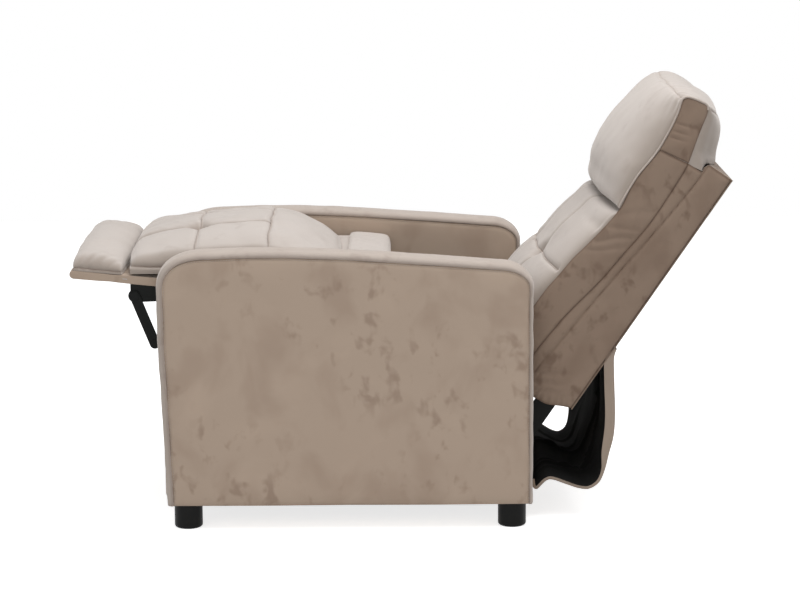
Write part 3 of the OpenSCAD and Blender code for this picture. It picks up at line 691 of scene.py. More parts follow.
def frame_wood():
    """Sawn pine: rings stretched along the board, with saw marks."""
    s = Shader("frame_wood")
    wander = s.noise(0.09, 3.0, 0.5, 0.0, (1, 4, 2))
    rings = s.noise(0.012, 3.0, 0.55, 1.2, (1, 9, 1))
    tone = s.mix(rings.step(0.35, 0.65) * 0.7, (0.55, 0.4, 0.235), (0.38, 0.235, 0.115))
    tone = s.mix(wander * 0.35, tone, (0.62, 0.47, 0.3))
    saw = s.noise(0.0022, 2.0, 0.5, 0.0, (1, 1, 8))
    return s.finish(base_color=tone, roughness=0.72, normal=s.bump(saw, 0.0005, 0.4), specular_ior_level=0.25)


MATERIALS = {}


def material(slot):
    """The material of a slot, made when it is first asked for."""
    fabric = bpy.context.scene.armchair_fabric
    makers = {
        "side_fabric": lambda: velvet("side_fabric", fabric.side, fabric.nap, 0.75),
        "boxing_fabric": lambda: velvet("boxing_fabric", fabric.boxing, fabric.nap, 0.35, 5.0),
        # The cushions' last number is the strength of the painted shade on their sides
        "cushion_fabric": lambda: velvet("cushion_fabric", fabric.cushion, fabric.nap, 0.25, 9.0, 0.75),
        "back_fabric": lambda: velvet("back_fabric", fabric.back, fabric.nap, 0.9, 14.0),
        "flap_fabric": lambda: woven("flap_fabric", fabric.flap),
        "black_cloth": black_cloth, "black_metal": black_metal, "pin_steel": pin_steel,
        "foot_plastic": foot_plastic, "frame_wood": frame_wood,
    }
    if slot not in MATERIALS:
        MATERIALS[slot] = makers[slot]()
    return MATERIALS[slot]


# Side outlines measured in the photograph, as shares of a piece's length or depth and of its height


SEAT_MID = [
    (0.012, 0), (0, 0.137), (0.012, 0.411), (0.055, 0.651), (0.179, 0.829), (0.325, 0.929),
    (0.491, 0.985), (0.659, 1), (0.779, 0.846), (0.875, 0.579), (0.93, 0.377), (0.965, 0.229),
    (0.985, 0.114), (0.985, 0),
]
SEAT_END = [
    (0.035, 0), (0.02, 0.16), (0.03, 0.229), (0.08, 0.286), (0.19, 0.343), (0.33, 0.389), (0.49, 0.423),
    (0.65, 0.423), (0.77, 0.32), (0.84, 0.206), (0.88, 0.114), (0.9, 0.069), (0.915, 0.04), (0.915, 0),
]
PAD_MID = [
    (0.02, 0), (0, 0.3), (0.05, 0.68), (0.18, 0.9), (0.4, 1), (0.65, 0.97), (0.85, 0.8), (0.97, 0.5),
    (0.98, 0),
]
PAD_END = [
    (0.08, 0), (0.05, 0.22), (0.09, 0.39), (0.2, 0.51), (0.4, 0.56), (0.64, 0.53), (0.82, 0.46),
    (0.92, 0.31), (0.94, 0),
]
ROLL_MID = [
    (0.01, 0), (0, 0.5), (0.05, 0.88), (0.17, 1), (0.34, 0.94), (0.64, 0.6), (0.86, 0.19),
    (0.97, -0.31), (1, -1.19), (0.99, -2.38),
]
ROLL_END = [
    (0.03, 0.04), (0.02, 0.19), (0.07, 0.31), (0.18, 0.38), (0.34, 0.34), (0.62, 0.22), (0.84, 0.06),
    (0.94, -0.31), (0.97, -1.19), (0.96, -2.2),
]
CUSHION_MID = [
    (0.518, -0.032), (0.635, -0.02), (0.769, 0.017), (0.898, 0.086), (0.957, 0.172), (0.968, 0.24),
    (0.948, 0.317), (0.905, 0.386), (0.88, 0.452), (0.865, 0.514), (0.82, 0.596), (0.775, 0.657),
    (0.625, 0.694),
]
CUSHION_END = [
    (0.518, -0.024), (0.58, -0.015), (0.64, 0.008), (0.695, 0.067), (0.728, 0.152), (0.74, 0.22),
    (0.735, 0.31), (0.715, 0.38), (0.7, 0.45), (0.67, 0.52), (0.638, 0.594), (0.618, 0.66), (0.58, 0.694),
]
HEADREST_MID = [
    (0.645, 0.706), (0.78, 0.692), (0.845, 0.71), (0.888, 0.748), (0.94, 0.791), (0.972, 0.858),
    (0.976, 0.95), (0.944, 1.037), (0.9, 1.1), (0.83, 1.144), (0.755, 1.166), (0.632, 1.187),
    (0.446, 1.194), (0.319, 1.171), (0.225, 1.138), (0.165, 1.1), (0.12, 1.055), (0.065, 1.014),
]
HEADREST_END = [
    (0.612, 0.706), (0.62, 0.697), (0.63, 0.71), (0.637, 0.742), (0.645, 0.788), (0.647, 0.84),
    (0.63, 0.936), (0.646, 1.029), (0.67, 1.091), (0.7, 1.135), (0.69, 1.152), (0.655, 1.162),
    (0.58, 1.17), (0.505, 1.172), (0.47, 1.147), (0.446, 1.1), (0.423, 1.059), (0.4, 1.022),
]
# Places on the headrest's outline, counted in its points: the front and rear seams in the middle, and
# at an end the same seams and both ends of the welt
HEADREST_SEAMS, HEADREST_SEAMS_END = np.array((9.4, 13.2)), (9, 13, 1.2, 13.6)
HEADREST_SEAT = [(0.077, 1.006), (0.18, 1.006), (0.222, 0.966), (0.358, 0.96), (0.638, 0.951), (0.636, 0.82)]
HEADREST_SEAT_END = [
    (0.34, 1.002), (0.27, 0.985), (0.24, 0.97), (0.358, 0.963), (0.608, 0.948), (0.608, 0.82),
]
SHELL_FRONT = [
    (0.356, 0.953), (0.348, 0.88), (0.342, 0.718), (0.375, 0.563), (0.41, 0.428), (0.476, 0.272),
    (0.515, 0.091), (0.515, -0.034),
]


def scaled(shares, size, at=(0, 0)):
    return np.asarray(shares) * size + at


def nearest(points, value, axis, low=None):
    """Place on a spline, counted in its points, where a coordinate has a value. low leaves out the part
    under a height."""
    places = np.linspace(0, len(points) - 1, 60 * len(points))
    line = spline(points, places)
    off = np.abs(line[:, axis] - value)
    if low is not None:
        off = np.where(line[:, 1 - axis] > low, off, FAR_OFF)
    return places[off.argmin()]


END_OFFSETS = np.array([0, 0.1, 0.3, 0.7, 1.3, 2.2, 3.5, 5, 7, 9.5, 12.5, 16, 20]) / 1000


def stations(half, step=0.006, marks=()):
    """Places across a stuffed piece: crowded at both ends, where it rounds off, and round the marks."""
    inner = half - END_OFFSETS[-1]
    even = spaced(-inner, inner, step, marks)
    return np.unique(np.round(np.concatenate([even, half - END_OFFSETS, END_OFFSETS - half]), 6))


def stuffed(half, mid, end, xs, us):
    """Side outlines, one per place across: end + (mid - end) * fullness."""
    a, b = spline(end, us), spline(mid, us)
    return a[None] + (b - a)[None] * fullness(xs, half)[:, None, None]


def across_rows(xs, plane):
    """Joins places across and side outlines into points (x, first, second)."""
    x = np.broadcast_to(np.asarray(xs)[:, None, None], plane.shape[:2] + (1,))
    return np.concatenate([x, plane], axis=2)


def fullness(xs, half):
    """How far a stuffed piece swells at each place across: (1 - |x / half|^2)^(1/2)."""
    return (1 - np.clip(np.abs(xs / half), 0, 1) ** 2) ** 0.5


def rounded_ends(top, floor, half, reach, part):
    """Lowers the last stretch of a stuffed top towards its ends, as 1 - part (1 - sqrt(1 - t^2))."""
    t = np.clip((np.abs(top[..., 0]) - half + reach) / reach, 0, 1)
    top = top.copy()
    top[..., 2] = floor + (top[..., 2] - floor) * (1 - part * (1 - np.sqrt(1 - t**2)))
    return top


def with_sides(top, floor, half, rows, bulge):
    """Adds to a stuffed top the two side walls under its ends, as one grid, and gives the flat underside too.
    The walls rise from the floor height to the top's end outline and swell by the bulge, as sin(pi t)."""
    t = np.asarray(rows)[:, None]

    def wall(edge, sign):
        flat = edge.copy()
        flat[:, 2] = floor
        out = flat[None] + (edge - flat)[None] * t[..., None]
        high = smooth(edge[:, 2] - floor, 0.004, 0.03)
        out[..., 0] = sign * (half + bulge * np.sin(math.pi * t) * high[None])
        return out

    grid = np.concatenate([wall(top[0], -1), top[1:-1], wall(top[-1], 1)[::-1]])
    under = top.copy()
    under[..., 2] = floor
    first, last = under[:, :1, 1], under[:, -1:, 1]
    under[..., 1] = np.clip(np.maximum.accumulate(under[..., 1], axis=1), first, last)
    return grid, under


def bun(name, grid, under, place, crease):
    """Closed mesh of a stuffed piece that lies on a flat base. place puts local points into the frame."""
    skip = (len(grid) - len(under)) // 2
    band = grid[skip:len(grid) - skip]
    joins = [np.stack([band[:, k], under[:, k]]) for k in (0, -1)]
    flanks = [np.stack([grid[0], under[0]]), np.stack([grid[-1], under[-1]])]
    parts = [grid, under] + joins + flanks
    return build(name, [place(p) for p in parts], [crease] + [None] * (len(parts) - 1))


def seams_and_tufts(d_lines, d_tufts, seat, mask):
    """Depth of the quilting and the painted shade in its creases: for each seam a soft dip, a sharp cusp in it and
    small puckers along it, and for each tuft a deeper round dip. A seam is given as the distance from it, the
    place along it, a mask and the width of its line of painted shade."""
    depth = np.zeros_like(mask)
    dark = np.zeros_like(mask)
    for d, along, m, wide in d_lines:
        pucker = 1 + 0.22 * np.sin(along * 2 * math.pi / 0.0085) * bell(d, 0.008)
        depth += (seat.groove * bell(d, seat.groove_w) * pucker + 0.0022 * cusp(d, 0.0014)) * m
        dark = np.maximum(dark, cusp(d, wide) * m)
    for r in d_tufts:
        depth += (seat.tuft * bell(r, seat.tuft_w) + 0.003 * cusp(r, 0.004)) * mask
        dark = np.maximum(dark, 1.2 * cusp(r, 0.0055) * mask)
    return depth * mask, dark * mask


# A thread lies this far beside its seam. A point that a search leaves out counts as this far off
THREAD_OFFSET, FAR_OFF = 0.0022, 9


def thread(name, grid, off, place, body, keep, radius=0.001):
    """Light sewing thread along a seam: in each row of a grid, the point where the distance off is smallest,
    evened out over its neighbours. keep picks the rows."""
    rows = np.flatnonzero(keep)
    nearest_column = np.abs(off[rows]).argmin(axis=1)
    line = grid[rows, nearest_column] + normals(grid)[rows, nearest_column] * radius * 0.6
    soft = np.pad(line, ((2, 2), (0, 0)), mode="edge")
    soft = sum(soft[k:k + len(line)] for k in range(5)) / 5
    return finished(build(name, tube(place(soft), radius, 6)), "boxing_fabric", body)


def staple(places, radius=0.0005):
    """One staple along a line of points."""
    return tube(places, radius, 6)


# Arms


def arm_outline(arm, inset, step=0.006):
    """Side outline of an arm from its lower front corner over the crest to its lower rear corner.
    The front corner is a superellipse of power 2.5, and the rear one an ellipse, less inset."""
    rear_inset = inset * (arm.rear_seam if inset > 0 else 1)
    a, b = (r - inset for r in arm.front_round)
    w = np.linspace(math.pi, math.pi / 2, 40)
    knee_z = ARM_TOP - arm.knee
    front = np.stack([
        arm.front_round[0] - a * np.abs(np.cos(w)) ** 0.8,
        ARM_TOP - arm.shoulder + b * np.sin(w) ** 0.8,
    ], axis=1)
    c, d = arm.rear_round[0] - rear_inset, arm.rear_round[1] - inset
    w = np.linspace(math.pi / 2, 0, 30)
    rear = np.stack([
        ARM_LEN - arm.rear_round[0] + c * np.cos(w),
        ARM_TOP - arm.rear_drop + d * np.sin(w),
    ], axis=1)
    crest = [(0.22, 1), (0.33, 1), (0.49, 0.993), (0.65, 0.979), (0.78, 0.967)]
    crest = scaled(crest, (ARM_LEN, ARM_TOP), (0, -inset))
    crest = spline(np.vstack([front[-1:], crest, rear[:1]]), np.linspace(0, 6, 90))[1:-1]
    line = np.vstack([
        [(arm.rake + inset, ARM_BOTTOM)], [(inset + 0.001, knee_z)], front, crest, rear,
        [(ARM_LEN - rear_inset, ARM_BOTTOM)],
    ])
    far = measured(line)
    return resampled(line, int(far[-1] / step))


def radial(ring, shares):
    """Rings from a closed outline to its middle, one for each share."""
    middle = ring.mean(0)
    return middle + (ring - middle)[None] * np.asarray(shares)[:, None, None]


def edge_distance(points, ring):
    """Distance of each point from a closed line, to the nearest of its points."""
    flat = points.reshape(-1, 2)
    return np.sqrt(((flat[:, None] - ring[None]) ** 2).sum(-1).min(1)).reshape(points.shape[:-1])


PANEL_SHARES = np.array([
    1, 0.997, 0.993, 0.988, 0.98, 0.97, 0.955, 0.935, 0.91, 0.87, 0.8, 0.7, 0.58, 0.45, 0.3, 0.15, 0,
])


def arm_panel(name, arm, ring, face, inward, seed):
    """Padded side panel: rings from the seam to the middle. Its face drops into the seam as exp(-d / 4 mm),
    swells by the crown and has the slight unevenness of the wadding."""
    ring = np.vstack([ring, ring[:1]])
    flat = radial(ring, PANEL_SHARES)
    d = edge_distance(flat, resampled(ring, 400))
    swell = arm.crown * (1 - np.exp(-d / 0.03))
    swell = swell + 0.0007 * ripple(flat, 0.12, seed) * (1 - np.exp(-d / 0.05))
    x = face + inward * (-0.0045 * np.exp(-d / 0.004) + swell)
    back = face - inward * arm.panel_t
    front = on_arm(flat[..., 0], flat[..., 1], x)
    rear = on_arm(flat[..., 0], flat[..., 1], back)
    wall = np.stack([front[0], rear[0]])
    # Painted shade along the seam and on the wall that sits in it
    return build(name, [front, rear, wall], [cusp(d, 0.0016), None, np.ones(wall.shape[:2])])


def arm_strip(name, arm, sign):
    """Strip of fabric round an arm's edge, from the seam of one side to that of the other. Across it runs
    as a quarter round, a crowned top and a quarter round, and its ends tuck into the seams."""
    w = np.linspace(0, math.pi / 2, 9)
    r = arm.seam_inset
    half, middle = (ARM_OUT - ARM_IN) / 2, (ARM_OUT + ARM_IN) / 2
    edge = np.stack([-half + r - r * np.cos(w), r - r * np.sin(w)], axis=1)
    edge = np.vstack([[(-half + 0.003, r + 0.002)], [(-half + 0.0006, r + 0.0006)], edge])
    top = np.linspace(-half + r, half - r, 11)[1:-1]
    crown = np.stack([top, -arm.crown * (1 - (top / (half - r)) ** 2)], axis=1)
    profile = np.vstack([edge, crown, (edge * (-1, 1))[::-1]])
    count = None
    rows = []
    for x, inset in profile:
        line = arm_outline(arm, max(inset, 0))
        count = count or len(line)
        line = resampled(line, count)
        if inset < 0:
            t = np.gradient(line, axis=0)
            t /= np.linalg.norm(t, axis=1, keepdims=True)
            line = line + np.stack([-t[:, 1], t[:, 0]], axis=1) * -inset
        rows.append(on_arm(line[:, 0], line[:, 1], sign * (middle + x)))
    grid = np.stack(rows)
    out = normals(grid)
    along = np.minimum(np.abs(profile[:, 0] + half), np.abs(profile[:, 0] - half))[:, None]
    wrinkle = 0.0006 * ripple(grid * (0.4, 1, 1), 0.07, 31 + int(sign)) * smooth(along, 0.004, 0.02)
    grid = grid + out * wrinkle[..., None]
    core = np.clip(profile[:, 0], -half + 0.012, half - 0.012)
    deep = resampled(arm_outline(arm, r + 0.0005), count)
    inner = np.stack([on_arm(deep[:, 0], deep[:, 1], sign * (middle + x)) for x in core])
    # Painted shade where the strip tucks into the seams, and on its narrow sides
    crease = 0.6 * cusp(along, 0.0008) * np.ones(grid.shape[:2])
    return slab(name, grid, inner, crease, 1.0)


STITCH_RADIUS, STITCH_PITCH = 0.00042, 0.0056


class RECLINER_OT_arms(bpy.types.Operator):
    """Padded side panels, top strips and stitches of both arms"""

    bl_idname = "recliner.arms"
    bl_label = "Arms"

    def execute(self, context):
        arm = context.scene.armchair_arm

        def make(side, sign):
            ring = arm_outline(arm, arm.seam_inset + 0.0004)
            bottom = np.linspace(ring[-1], ring[0], 60)[1:-1]
            outer_ring = np.vstack([ring, bottom])
            outer = arm_panel(f"arm_outer_padding_{side}", arm, outer_ring, sign * ARM_OUT, sign, 3 + sign)
            finished(outer, "side_fabric", "base", [f"arm_outer_panel_{side}"])
            high = ring[ring[:, 1] > arm.inner_z + 0.001]
            ends = np.array([(high[0, 0], arm.inner_z), (high[-1, 0], arm.inner_z)])
            inner_ring = np.vstack([ends[:1], high, ends[1:], np.linspace(ends[1], ends[0], 60)[1:-1]])
            inner = arm_panel(f"arm_inner_padding_{side}", arm, inner_ring, sign * ARM_IN, -sign, 7 + sign)
            finished(inner, "side_fabric", "base", [f"arm_inner_panel_{side}"])
            strip = arm_strip(f"arm_top_strip_{side}", arm, sign)
            finished(strip, "boxing_fabric", "base", [f"arm_boxing_{side}"])
            seam = arm_outline(arm, arm.seam_inset + 0.0045)
            for part, x in (("outer", ARM_OUT - 0.0004), ("inner", ARM_IN + 0.0004)):
                line = seam if part == "outer" else seam[seam[:, 1] > arm.inner_z + 0.01]
                stitches = dashes(on_arm(line[:, 0], line[:, 1], sign * x), STITCH_RADIUS, STITCH_PITCH)
                row = build(f"arm_stitches_{part}_{side}", stitches, weld=1e-6)
                finished(row, "boxing_fabric", "base")

        both(make)
        return {"FINISHED"}


# Seat and footrest


class RECLINER_OT_seat_cushion(bpy.types.Operator):
    """Seat cushion with two cross seams, two lengthwise seams, two tufts and a border seam.
    Its top is a stuffed surface; the seams' dips are bell curves and cusps of the distance from each seam"""

    bl_idname = "recliner.seat_cushion"
    bl_label = "Seat Cushion"

    def execute(self, context):
        seat = context.scene.armchair_seat
        low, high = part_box("seat_cushion")
        size = (high.y - low.y, high.z - low.z)
        start = low.y - FRONT
        mid, end = scaled(SEAT_MID, size, (start, low.z)), scaled(SEAT_END, size, (start, low.z))
        half = high.x
        seams = [start + s * size[0] for s in seat.seams]
        marks = [nearest(mid, y, 0, low.z + 0.04) for y in seams]
        us = ring_places(mid, 0.0055, marks)
        xs = stations(half, 0.0055, (-seat.tuft_x, seat.tuft_x))
        top = rounded_ends(across_rows(xs, stuffed(half, mid, end, xs, us)), low.z, half, 0.02, 0.5)
        near_top = 0.85 + np.array([-4, -2, -1, 0, 1, 2, 4]) * 0.012
        rows = np.unique(np.concatenate([np.linspace(0, 1, 15), near_top]))
        grid, under = with_sides(top, low.z, half, rows, 0.0025)
        x, y, z = grid[..., 0], grid[..., 1], grid[..., 2]
        up = z - low.z
        out = normals(grid)
        wander = 0.0012 * ripple(grid[..., :2], 0.11, 4)
        border = seat.border + 0.0015 * ripple(grid[..., :2], 0.16, 6, 6)
        above = smooth(up, border - 0.001, border + 0.006)
        d1, d2 = y - seams[0] + wander, y - seams[1] + wander
        ahead = 1 - smooth(y, seams[1] - 0.001, seams[1] + 0.004)
        lines = [(d1, x, above, 0.0013), (d2, x, above, 0.0013)]
        lines += [(x - side * seat.tuft_x + wander * 0.7, y + z, above * ahead, 0.0026) for side in (-1, 1)]
        tufts = [np.hypot(x - side * seat.tuft_x, d1) for side in (-1, 1)]
        # dark is painted shade in the seams, tufts, pull folds and border seam
        depth, dark = seams_and_tufts(lines, tufts, seat, above)
        angles = (0.35, 0.8, 1.25, 1.9, 2.4, 2.85, 3.6, 4.1, 4.45, 5.0, 5.6, 6.0)
        for side in (-1, 1):
            pull = folds(x, y, (side * seat.tuft_x, seams[0]), angles, 0.026, 0.0028) * above
            depth += 0.0045 * pull
            dark = np.maximum(dark, 0.55 * pull)
        d_border = up - border
        sides = (1 - smooth(np.abs(out[..., 2]), 0.55, 0.85)) * smooth(up, 0.008, 0.014)
        depth += (0.0022 * cusp(d_border, 0.002) + 0.0018 * bell(d_border, 0.006)) * sides
        dark = np.maximum(dark, cusp(d_border, 0.0016) * sides)
        depth += 0.0012 * ripple(grid * (1, 1.4, 1), 0.11, 12) * smooth(up, 0.01, 0.04)
        grid = grid - out * (depth * smooth(up, 0.001, 0.01))[..., None]
        grid[..., 0] = np.clip(grid[..., 0], -half - 0.0035, half + 0.0035)
        obj = bun("seat_cushion_padding", grid, under, arm_place, dark)
        finished(obj, "cushion_fabric", "carriage", ["seat_cushion"])
        flat = slice((len(grid) - len(under)) // 2, (len(grid) + len(under)) // 2)
        inside = np.abs(xs) < half - 0.004
        for number, off in ((1, d1), (2, d2)):
            far = np.where(up[flat] > 0.03, off[flat] - THREAD_OFFSET, FAR_OFF)
            thread(f"seat_cushion_thread_{number}", grid[flat], far, arm_place, "carriage", inside)
        return {"FINISHED"}


class RECLINER_OT_seat_roll(bpy.types.Operator):
    """Roll behind the seat cushion: a stuffed surface that hooks over the frame's rear rail"""

    bl_idname = "recliner.seat_roll"
    bl_label = "Seat Roll"

    def execute(self, context):
        seat = context.scene.armchair_seat
        low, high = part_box("seat_rear_roll")
        seat_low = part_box("seat_cushion")[0]
        size = (high.y - low.y, seat.roll_h)
        at = (low.y - FRONT, seat_low.z)
        mid, end = scaled(ROLL_MID, size, at), scaled(ROLL_END, size, at)
        close_mid = np.array([(seat.rail_y, mid[-1, 1]), (seat.rail_y, at[1])])
        close_end = np.array([(seat.rail_y, end[-1, 1]), (seat.rail_y, at[1])])
        half = high.x
        xs = stations(half, 0.007)
        grid = stuffed(half, mid, end, xs, ring_places(mid, 0.0045))
        closing = close_end[None] + (close_mid - close_end)[None] * fullness(xs, half)[:, None, None]
        full = across_rows(xs, grid)
        out = normals(full)
        far = 1 - smooth(np.abs(full[..., 0]), half - 0.03, half - 0.004)
        depth = 0.001 * ripple(full * (1, 1.6, 1), 0.1, 21) + 0.0005 * ripple(full * (3, 0.8, 1), 0.07, 22)
        depth = depth * far
        edge = smooth(np.arange(full.shape[1]), 0, 4) * smooth(np.arange(full.shape[1])[::-1], 0, 4)
        full = full - out * (depth * edge)[..., None]
        ring = np.concatenate([full, across_rows(xs, closing), full[:, :1]], axis=1)
        caps = [fan(ring[k], (sign * 0.003, 0, 0)) for k, sign in ((0, -1), (-1, 1))]
        obj = build("seat_roll_padding", [arm_place(g) for g in [ring] + caps])
        finished(obj, "cushion_fabric", "carriage", ["seat_rear_roll"])
        return {"FINISHED"}


class RECLINER_OT_foot_pad(bpy.types.Operator):
    """Pad on the footrest's front end: a stuffed surface with diagonal pull folds at its near corners"""

    bl_idname = "recliner.foot_pad"
    bl_label = "Foot Pad"

    def execute(self, context):
        seat = context.scene.armchair_seat
        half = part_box("foot_pad")[1].x
        floor = seat.board_t / 2 + 0.0003
        start = -seat.pad_back - seat.pad_len
        size = (seat.pad_len, seat.pad_h)
        mid, end = scaled(PAD_MID, size, (start, floor)), scaled(PAD_END, size, (start, floor))
        us = ring_places(mid, 0.004)
        xs = stations(half, 0.0055)
        top = rounded_ends(across_rows(xs, stuffed(half, mid, end, xs, us)), floor, half, 0.024, 0.62)
        grid, under = with_sides(top, floor, half, np.linspace(0, 1, 13), 0.001)
        x, y, z = grid[..., 0], grid[..., 1], grid[..., 2]
        up = z - floor
        out = normals(grid)
        depth = 0.0009 * ripple(grid * (0.8, 1.3, 1.3), 0.09, 41)
        corner_folds = (
            (0.02, 0.6, 0.0022), (0.038, 0.75, 0.0028), (0.06, 0.9, 0.0022), (0.083, 1.05, 0.0016)
        )
        for side in (-1, 1):
            for shift, tilt, deep in corner_folds:
                line = (y - start - shift) - tilt * (half - side * x)
                depth += deep * bell(line, 0.0038) * smooth(side * x, half - 0.05, half - 0.012)
        d_seam = up - 0.0055
        walls = 1 - smooth(np.abs(out[..., 2]), 0.6, 0.85)
        depth += 0.0022 * cusp(d_seam, 0.0018) * walls
        grid = grid - out * (depth * smooth(up, 0.001, 0.008))[..., None]
        # Painted shade along the seam round the pad's walls
        dark = cusp(d_seam, 0.0018) * walls
        obj = bun("foot_pad_padding", grid, under, board_place, dark)
        finished(obj, "cushion_fabric", "footrest", ["foot_pad"])
        return {"FINISHED"}


class RECLINER_OT_footrest_board(bpy.types.Operator):
    """Covered footrest board with a rounded front edge, wrapped ends and staples along its underside"""

    bl_idname = "recliner.footrest_board"
    bl_label = "Footrest Board"

    def execute(self, context):
        seat = context.scene.armchair_seat
        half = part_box("footrest_board")[1].x
        r = seat.board_t / 2
        w = np.linspace(math.pi / 2, 3 * math.pi / 2, 17)
        nose = np.stack([r - seat.board_len + r * np.cos(w), r * np.sin(w)], axis=1)
        back = -0.0015
        heel = [(back, -r), (0, -r + 0.0015), (0, r - 0.0015), (back, r)]
        top = np.stack([np.linspace(back, nose[0, 0], 34)[1:-1], np.full(32, r)], axis=1)
        low = np.stack([np.linspace(nose[-1, 0], back, 34)[1:-1], np.full(32, -r)], axis=1)
        ring = np.vstack([[heel[3]], top, nose, low, heel])
        xs = stations(half, 0.008)
        s = (1 - np.abs(xs / half) ** 40) ** 0.5 * 0.0025 - 0.0025
        middle = ring.mean(0) * (1, 0)
        lean = ring - middle
        lean = lean / (np.linalg.norm(lean, axis=1, keepdims=True) + 1e-9)
        grid = across_rows(xs, ring[None] + lean[None] * s[:, None, None])
        inside = 1 - smooth(np.abs(grid[..., 0]), half - 0.02, half - 0.002)
        wave = 0.0005 * ripple(grid * (1, 1, 2), 0.045, 51) * inside
        grid = grid - normals(grid) * np.abs(wave)[..., None]
        grid[:, -1] = grid[:, 0]
        caps = [fan(grid[k]) for k in (0, -1)]
        obj = build("footrest_board_cover", [board_place(g) for g in [grid] + caps])
        finished(obj, "side_fabric", "footrest", ["footrest_board"])
        staples = []
        for x in np.linspace(-half + 0.03, half - 0.03, 12):
            staples += staple(on_board(-0.012, -r - 0.0003, np.linspace(x - 0.005, x + 0.005, 5)))
        for side in (-1, 1):
            staples += staple(on_board(np.linspace(-0.083, -0.073, 5), 0.001, side * (half + 0.0003)), 0.0006)
        finished(build("footrest_board_staples", staples), "pin_steel", "footrest")
        return {"FINISHED"}


# Back


def closed_piece(name, xs, half, grid, closing, place, dark):
    """Mesh of a stuffed piece whose outline is closed by straight lines, with flat ends.
    closing holds the corners of the straight part at the middle and at the end."""
    mid, end = closing
    corners = end[None] + (mid - end)[None] * fullness(xs, half)[:, None, None]
    rest = np.concatenate([grid[:, -1:], across_rows(xs, corners), grid[:, :1]], axis=1)
    rings = np.concatenate([grid, rest[:, 1:-1]], axis=1)
    return build(name, [place(grid), place(rest)], [dark, None], caps=[place(rings[0]), place(rings[-1])])


# Seams on the back's side, as (depth ahead of the rear face, height along it) in metres
FRONT_SEAM = [
    (0.151, -0.009), (0.166, 0.005), (0.181, 0.04), (0.189, 0.09), (0.192, 0.13), (0.191, 0.184),
    (0.186, 0.225), (0.182, 0.267), (0.174, 0.308), (0.166, 0.352), (0.161, 0.391), (0.16, 0.418),
    (0.163, 0.44), (0.167, 0.467), (0.168, 0.498), (0.1615, 0.5625),
]
SHELL_SEAM = [
    (0.134, -0.02), (0.134, 0.054), (0.124, 0.161), (0.107, 0.254), (0.098, 0.334), (0.089, 0.426),
    (0.091, 0.522), (0.0945, 0.572),
]
SIDE_GROOVE = [
    (0.114, -0.02), (0.11, 0.022), (0.0985, 0.148), (0.0915, 0.221), (0.0845, 0.291), (0.072, 0.396),
    (0.0595, 0.526), (0.0575, 0.59),
]


def side_panel(name, sign, edges, face, thickness, shape):
    """Padded panel on the back's side between four edge lines of (depth, height). shape gives, from the
    points and their distance to the rim, how far the face stands out and how much painted shade its creases get."""
    flat = coons(*edges)
    rim = np.concatenate([edges[0], edges[3], edges[1][::-1], edges[2][::-1]])
    d = edge_distance(flat, rim)
    out, dark = shape(flat, d)
    front = across_face(flat, sign * (face + out))
    rear = across_face(flat, np.full(flat.shape[:2], sign * (face - thickness)))
    return slab(name, front, rear, dark, 1.0)


def across_face(flat, x):
    """Puts a grid of (depth, height) on the back, at places across."""
    return on_back(flat[..., 0], flat[..., 1], x)


